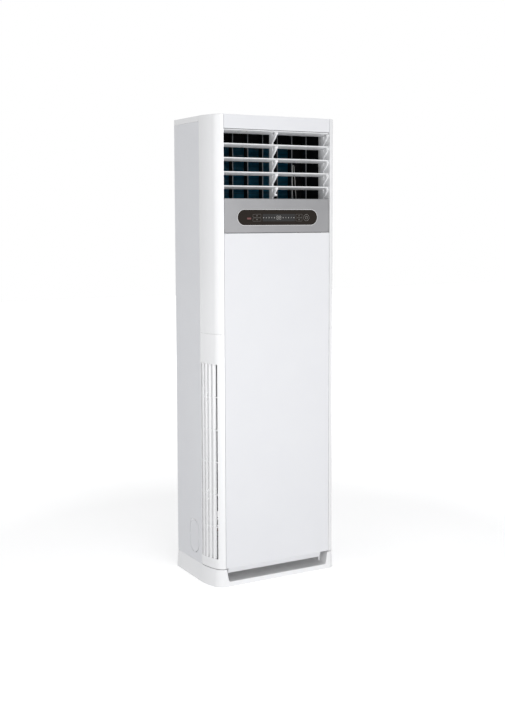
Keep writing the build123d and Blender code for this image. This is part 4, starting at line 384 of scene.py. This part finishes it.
def print_grey():
    """Pale printed marks on the display window."""
    return surface("print_grey", low=(0.11, 0.105, 0.10), high=(0.16, 0.153, 0.145),
                   rough=(0.40, 0.50), grain=2600.0, depth=0.00001)


def print_lit():
    """The brighter marks and digits of the display."""
    return surface("print_lit", low=(0.26, 0.25, 0.24), high=(0.36, 0.35, 0.335),
                   rough=(0.35, 0.45), grain=2600.0, depth=0.00001)


def print_red():
    """Dull red receiver window."""
    return surface("print_red", low=(0.10, 0.030, 0.030), high=(0.15, 0.045, 0.042),
                   rough=(0.25, 0.35), grain=900.0, depth=0.00001)


def display_black():
    """The darker window in which the row of marks stands."""
    return surface("display_black", low=(0.004, 0.004, 0.004), high=(0.008, 0.007, 0.007),
                   rough=(0.14, 0.22), grain=600.0, depth=0.000004)


SLOT_MAKERS = (gloss_white, panel_white, side_grey, brushed_silver, polished_rim, dark_lens, louver_white,
               black_plastic, black_foam, fin_coating, copper_tube, brass_fitting, galvanised, motor_grey,
               shaft_steel, white_plastic, filter_mesh, board_green, rubber_black)


def dress_nodes():
    """Gives every CAD node the material of its slot, and the upright vanes their own, with a painted
    highlight on the front edges.
    """
    made = {maker.__name__: maker() for maker in SLOT_MAKERS}
    vane_material = vane_with_painted_highlight()
    for subpart in frame["record"]["subparts"]:
        node = subpart["node"]
        is_vane = node.startswith("vane_") and node[-1].isdigit()
        mesh = frame["nodes"][node].data
        mesh.materials.clear()
        mesh.materials.append(vane_material if is_vane else made[subpart["material_slot"]])
    return made


# ---------------------------------------------------------------- pieces
def finished_piece(name, work, material):
    """Makes the worked mesh an object of one material in the scene."""
    mesh = bpy.data.meshes.new(name)
    work.to_mesh(mesh)
    work.free()
    mesh.materials.append(material)
    piece = bpy.data.objects.new(name, mesh)
    bpy.context.scene.collection.objects.link(piece)
    return piece


# ---------------------------------------------------------------- flat printed pieces
def rounded(x, z, half_x, half_z, radius):
    """Outline of a rectangle with round corners."""
    points = []
    corners = ((1, 1, 0), (-1, 1, 90), (-1, -1, 180), (1, -1, 270))
    for side_x, side_z, start in corners:
        middle_x = x + side_x * (half_x - radius)
        middle_z = z + side_z * (half_z - radius)
        for step in range(ARC_STEPS + 1):
            angle = math.radians(start + 90 * step / ARC_STEPS)
            points.append((middle_x + radius * math.cos(angle), middle_z + radius * math.sin(angle)))
    return points


def ring(x, z, half_x, half_z, radius, line):
    """Outline strokes of a round cornered frame, as small four sided pieces."""
    outer = rounded(x, z, half_x, half_z, radius)
    inner = rounded(x, z, half_x - line, half_z - line, radius - line)
    count = len(outer)
    return [[outer[i], outer[(i + 1) % count], inner[(i + 1) % count], inner[i]] for i in range(count)]


def bar(x, z, half_x, half_z):
    """Outline of a plain bar."""
    return [(x + half_x, z + half_z), (x - half_x, z + half_z),
            (x - half_x, z - half_z), (x + half_x, z - half_z)]


def print_piece(name, outlines, material, raised=1.0):
    """Thin prisms on the lens's front face that make one piece."""
    face_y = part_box("display_lens")[0].y
    work = bmesh.new()
    for outline in outlines:
        front = [work.verts.new((x, face_y - raised * PRINT_WALL, z)) for x, z in outline]
        back = [work.verts.new((x, face_y + PRINT_WALL, z)) for x, z in outline]
        work.faces.new(front)
        work.faces.new(back[::-1])
        for i in range(len(outline)):
            after = (i + 1) % len(outline)
            work.faces.new((front[i], back[i], back[after], front[after]))
    bmesh.ops.recalc_face_normals(work, faces=work.faces)
    piece = finished_piece(name, work, material)
    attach(piece, "cabinet")


def digit_eight(x, z):
    """All seven strokes of one display digit."""
    half_w = DIGIT_WIDTH / 2 - DIGIT_STROKE / 2
    half_h = DIGIT_HEIGHT / 2 - DIGIT_STROKE / 2
    thin = DIGIT_STROKE / 2
    strokes = [bar(x, z + level * half_h, half_w - thin, thin) for level in (-1, 0, 1)]
    for side in (-1, 1):
        for level in (-0.5, 0.5):
            strokes.append(bar(x + side * half_w, z + level * half_h, thin, half_h / 2 - thin))
    return strokes


def stacked_keys(x, half_x):
    """Two touch keys above each other, each a thin frame with an arrow in it."""
    strokes = []
    for side in (-1, 1):
        z = DISPLAY_Z + side * (KEY_HALF_HEIGHT + KEY_GAP / 2)
        strokes += ring(x, z, half_x, KEY_HALF_HEIGHT, KEY_CORNER, PRINT_LINE)
        tip = z + side * ARROW_RISE
        foot = z - side * ARROW_RISE / 2
        strokes.append([(x - ARROW_HALF_WIDTH, foot), (x + ARROW_HALF_WIDTH, foot), (x, tip)])
    return strokes


def power_key(x):
    """Round key with a broken ring and a stroke."""
    z = DISPLAY_Z
    strokes = ring(x, z, POWER_R, POWER_R, POWER_R - RING_ROOM, PRINT_LINE)
    radius = POWER_R * POWER_MARK_SHARE
    gap = radius * POWER_GAP_SHARE
    mark = ring(x, z, radius, radius, radius - RING_ROOM, POWER_MARK_LINE)
    strokes += [piece for piece in mark if not (abs(piece[0][0] - x) < gap and piece[0][1] > z)]
    strokes.append(bar(x, z + radius * POWER_STROKE_RISE, POWER_MARK_LINE / 2, radius * POWER_STROKE_HALF))
    return strokes


def mark_row(start, direction):
    """Small round marks beside the digits."""
    outlines = []
    for number in range(ROW_SIDE_COUNT):
        x = start + direction * number * ROW_PITCH
        half = SMALL_MARK_R if number % 2 else MARK_R
        outlines.append(rounded(x, DISPLAY_Z, half, half, half * DISC_CORNER))
    return outlines


def display_prints():
    """Everything that shows on the dark window."""
    grey = print_grey()
    lit = print_lit()
    window = rounded(WINDOW_X, DISPLAY_Z, WINDOW_HALF_WIDTH, WINDOW_HALF_HEIGHT, WINDOW_CORNER)
    print_piece("display_window", [window], display_black(), raised=WINDOW_RAISED)
    digits = [stroke for x in DIGIT_PLACES for stroke in digit_eight(x, DISPLAY_Z)]
    print_piece("display_digits", digits, lit)
    marks = mark_row(ROW_LEFT_START, -1) + mark_row(ROW_RIGHT_START, 1)
    print_piece("display_marks", marks, lit)
    print_piece("left_touch_keys", stacked_keys(LEFT_KEYS_X, LEFT_KEYS_HALF_WIDTH), grey)
    print_piece("right_touch_keys", stacked_keys(RIGHT_KEYS_X, RIGHT_KEYS_HALF_WIDTH), grey)
    print_piece("power_key_mark", power_key(POWER_X), lit)
    receiver = rounded(RECEIVER_X, DISPLAY_Z - RECEIVER_DROP, RECEIVER_HALF_WIDTH, RECEIVER_HALF_HEIGHT,
                       RECEIVER_CORNER)
    print_piece("receiver_window", [receiver], print_red())


# ---------------------------------------------------------------- coil fins and sensor lead
def coil_fins(material):
    """The coil's real stack of thin rippled fins, in place of the plain bored block."""
    low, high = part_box("evaporator_fins")
    drop = COIL_DEPTH * math.sin(COIL_TILT)
    length = (high.z - low.z - drop) / math.cos(COIL_TILT)
    origin = Vector((0.0, low.y, low.z + drop))
    turn = Matrix.Rotation(-COIL_TILT, 4, "X")
    count = int((high.x - low.x) / FIN_PITCH)
    steps = 2 * FIN_RIPPLES
    work = bmesh.new()
    for number in range(count):
        middle = low.x + (number + 0.5) * FIN_PITCH
        rows = []
        for step in range(steps + 1):
            ripple = FIN_RIPPLE * (1 if step % 2 else -1)
            depth = COIL_DEPTH * step / steps
            foot = origin + turn @ Vector((middle + ripple, depth, 0.0))
            top = origin + turn @ Vector((middle + ripple, depth, length))
            rows.append((work.verts.new(foot), work.verts.new(top)))
        for step in range(steps):
            work.faces.new((rows[step][0], rows[step + 1][0], rows[step + 1][1], rows[step][1]))
    fins = finished_piece("coil_fins", work, material)
    thicken = fins.modifiers.new("sheet", "SOLIDIFY")
    thicken.thickness = FIN_WALL
    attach(fins, "cabinet")
    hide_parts("evaporator_fins")


def lead_path():
    """Points along the lead: up, over in a half circle and down again."""
    middle = LEAD_LEFT + LEAD_TURN_R
    shoulder = LEAD_HIGH - LEAD_TURN_R
    path = [Vector((LEAD_LEFT, LEAD_Y, LEAD_LOW))]
    for step in range(2 * ARC_STEPS + 1):
        angle = math.pi * (1 - step / (2 * ARC_STEPS))
        path.append(Vector((middle + LEAD_TURN_R * math.cos(angle), LEAD_Y,
                            shoulder + LEAD_TURN_R * math.sin(angle))))
    path.append(Vector((LEAD_RIGHT, LEAD_Y, LEAD_LOW)))
    return path


def sensor_lead(material):
    """Thin white lead that rises from the duct's floor, turns over and comes down again."""
    path = lead_path()
    turns = [2 * math.pi * side / LEAD_SIDES for side in range(LEAD_SIDES)]
    work = bmesh.new()
    rings = []
    for number, point in enumerate(path):
        along = (path[min(number + 1, len(path) - 1)] - path[max(number - 1, 0)]).normalized()
        across = along.cross(REARWARD)
        spokes = [LEAD_R * (across * math.cos(turn) + REARWARD * math.sin(turn)) for turn in turns]
        rings.append([work.verts.new(point + spoke) for spoke in spokes])
    for lower, upper in zip(rings, rings[1:]):
        for side in range(LEAD_SIDES):
            after = (side + 1) % LEAD_SIDES
            work.faces.new((lower[side], lower[after], upper[after], upper[side]))
    work.faces.new(rings[0])
    work.faces.new(rings[-1])
    bmesh.ops.recalc_face_normals(work, faces=work.faces)
    for face in work.faces:
        face.smooth = True
    lead = finished_piece("sensor_lead", work, material)
    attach(lead, "cabinet")


# ---------------------------------------------------------------- stage, light and camera
def background_share(tree):
    """One for rays that see the surroundings, straight, mirrored or through glass; nought for light."""
    path = tree.nodes.new("ShaderNodeLightPath")
    share = path.outputs["Is Camera Ray"]
    for kind in ("Is Glossy Ray", "Is Transmission Ray"):
        larger = tree.nodes.new("ShaderNodeMath")
        larger.operation = "MAXIMUM"
        tree.links.new(share, larger.inputs[0])
        tree.links.new(path.outputs[kind], larger.inputs[1])
        share = larger.outputs[0]
    return share


def floor_material():
    """Pale floor that keeps the shadow but runs into the white background."""
    material, tree, shader = new_material("floor")
    shade_between(tree, shader, place_noise(tree, scale=2.0), low=(0.90, 0.90, 0.90), high=(0.93, 0.93, 0.93))
    rough_between(tree, shader, place_noise(tree, scale=9.0), low=0.85, high=0.95)
    place = tree.nodes.new("ShaderNodeTexCoord")
    reach = tree.nodes.new("ShaderNodeVectorMath")
    reach.operation = "LENGTH"
    rise = tree.nodes.new("ShaderNodeMapRange")
    rise.inputs["From Min"].default_value = GLOW_START
    rise.inputs["From Max"].default_value = GLOW_FULL
    rise.inputs["To Min"].default_value = FLOOR_GLOW
    rise.inputs["To Max"].default_value = 1.0
    level = tree.nodes.new("ShaderNodeMath")
    level.operation = "MULTIPLY"
    glow = tree.nodes.new("ShaderNodeEmission")
    glow.inputs["Color"].default_value = WHITE
    tree.links.new(place.outputs["Object"], reach.inputs[0])
    tree.links.new(reach.outputs["Value"], rise.inputs["Value"])
    tree.links.new(background_share(tree), level.inputs[0])
    tree.links.new(rise.outputs["Result"], level.inputs[1])
    tree.links.new(level.outputs[0], glow.inputs["Strength"])
    both = tree.nodes.new("ShaderNodeAddShader")
    output = tree.nodes["Material Output"]
    tree.links.new(shader.outputs["BSDF"], both.inputs[0])
    tree.links.new(glow.outputs["Emission"], both.inputs[1])
    tree.links.new(both.outputs["Shader"], output.inputs["Surface"])
    return material


def floor():
    """Plain pale floor."""
    mesh = bpy.data.meshes.new("floor")
    corners = [(-FLOOR_HALF, -FLOOR_HALF, 0), (FLOOR_HALF, -FLOOR_HALF, 0),
               (FLOOR_HALF, FLOOR_HALF, 0), (-FLOOR_HALF, FLOOR_HALF, 0)]
    mesh.from_pydata(corners, [], [(0, 1, 2, 3)])
    mesh.materials.append(floor_material())
    plane = bpy.data.objects.new("floor", mesh)
    bpy.context.scene.collection.objects.link(plane)


def world_light():
    """Even white surroundings: full white where they are seen or mirrored, softer as light."""
    world = bpy.data.worlds.new("studio")
    bpy.context.scene.world = world
    world.use_nodes = True
    tree = world.node_tree
    tree.nodes.clear()
    seen = tree.nodes.new("ShaderNodeBackground")
    seen.inputs["Strength"].default_value = 1.0
    seen.inputs["Color"].default_value = WHITE
    lit = tree.nodes.new("ShaderNodeBackground")
    lit.inputs["Strength"].default_value = WORLD_LEVEL
    lit.inputs["Color"].default_value = WORLD_TINT
    mix = tree.nodes.new("ShaderNodeMixShader")
    output = tree.nodes.new("ShaderNodeOutputWorld")
    tree.links.new(background_share(tree), mix.inputs["Fac"])
    tree.links.new(lit.outputs["Background"], mix.inputs[1])
    tree.links.new(seen.outputs["Background"], mix.inputs[2])
    tree.links.new(mix.outputs["Shader"], output.inputs["Surface"])


def soft_lamp(name, place, size, level):
    """A large rectangular lamp aimed at the cabinet's middle."""
    lamp = bpy.data.lights.new(name, "AREA")
    lamp.shape = "RECTANGLE"
    lamp.size = size[0]
    lamp.size_y = size[1]
    lamp.energy = level
    holder = bpy.data.objects.new(name, lamp)
    bpy.context.scene.collection.objects.link(holder)
    aim = Vector(CABINET_MIDDLE) - Vector(place)
    holder.matrix_world = Matrix.Translation(place) @ aim.to_track_quat("-Z", "Y").to_matrix().to_4x4()


def camera():
    """The photograph's camera."""
    ahead = Vector((math.sin(CAMERA_YAW) * math.cos(CAMERA_PITCH),
                    math.cos(CAMERA_YAW) * math.cos(CAMERA_PITCH),
                    -math.sin(CAMERA_PITCH)))
    level_right = Vector((math.cos(CAMERA_YAW), -math.sin(CAMERA_YAW), 0.0))
    level_down = ahead.cross(level_right)
    right = level_right * math.cos(CAMERA_ROLL) + level_down * math.sin(CAMERA_ROLL)
    up = level_right * math.sin(CAMERA_ROLL) - level_down * math.cos(CAMERA_ROLL)
    data = bpy.data.cameras.new("camera")
    data.sensor_fit = "AUTO"
    data.sensor_width = SENSOR
    data.lens = FOCAL_PIXELS * SENSOR / IMAGE_HEIGHT
    data.shift_x = (IMAGE_WIDTH / 2 - AXIS_PIXEL[0]) / IMAGE_HEIGHT
    data.shift_y = (AXIS_PIXEL[1] - IMAGE_HEIGHT / 2) / IMAGE_HEIGHT
    holder = bpy.data.objects.new("camera", data)
    bpy.context.scene.collection.objects.link(holder)
    turn = Matrix((right, up, -ahead)).transposed().to_4x4()
    holder.matrix_world = Matrix.Translation(CAMERA_PLACE) @ turn
    bpy.context.scene.camera = holder


# ---------------------------------------------------------------- the scene
materials = dress_nodes()
coil_fins(materials["fin_coating"])
sensor_lead(materials["white_plastic"])
display_prints()
floor()
world_light()
soft_lamp("key", KEY_PLACE, KEY_SIZE, KEY_LEVEL)
soft_lamp("fill", FILL_PLACE, FILL_SIZE, FILL_LEVEL)
camera()
bpy.context.scene.view_settings.view_transform = "Standard"
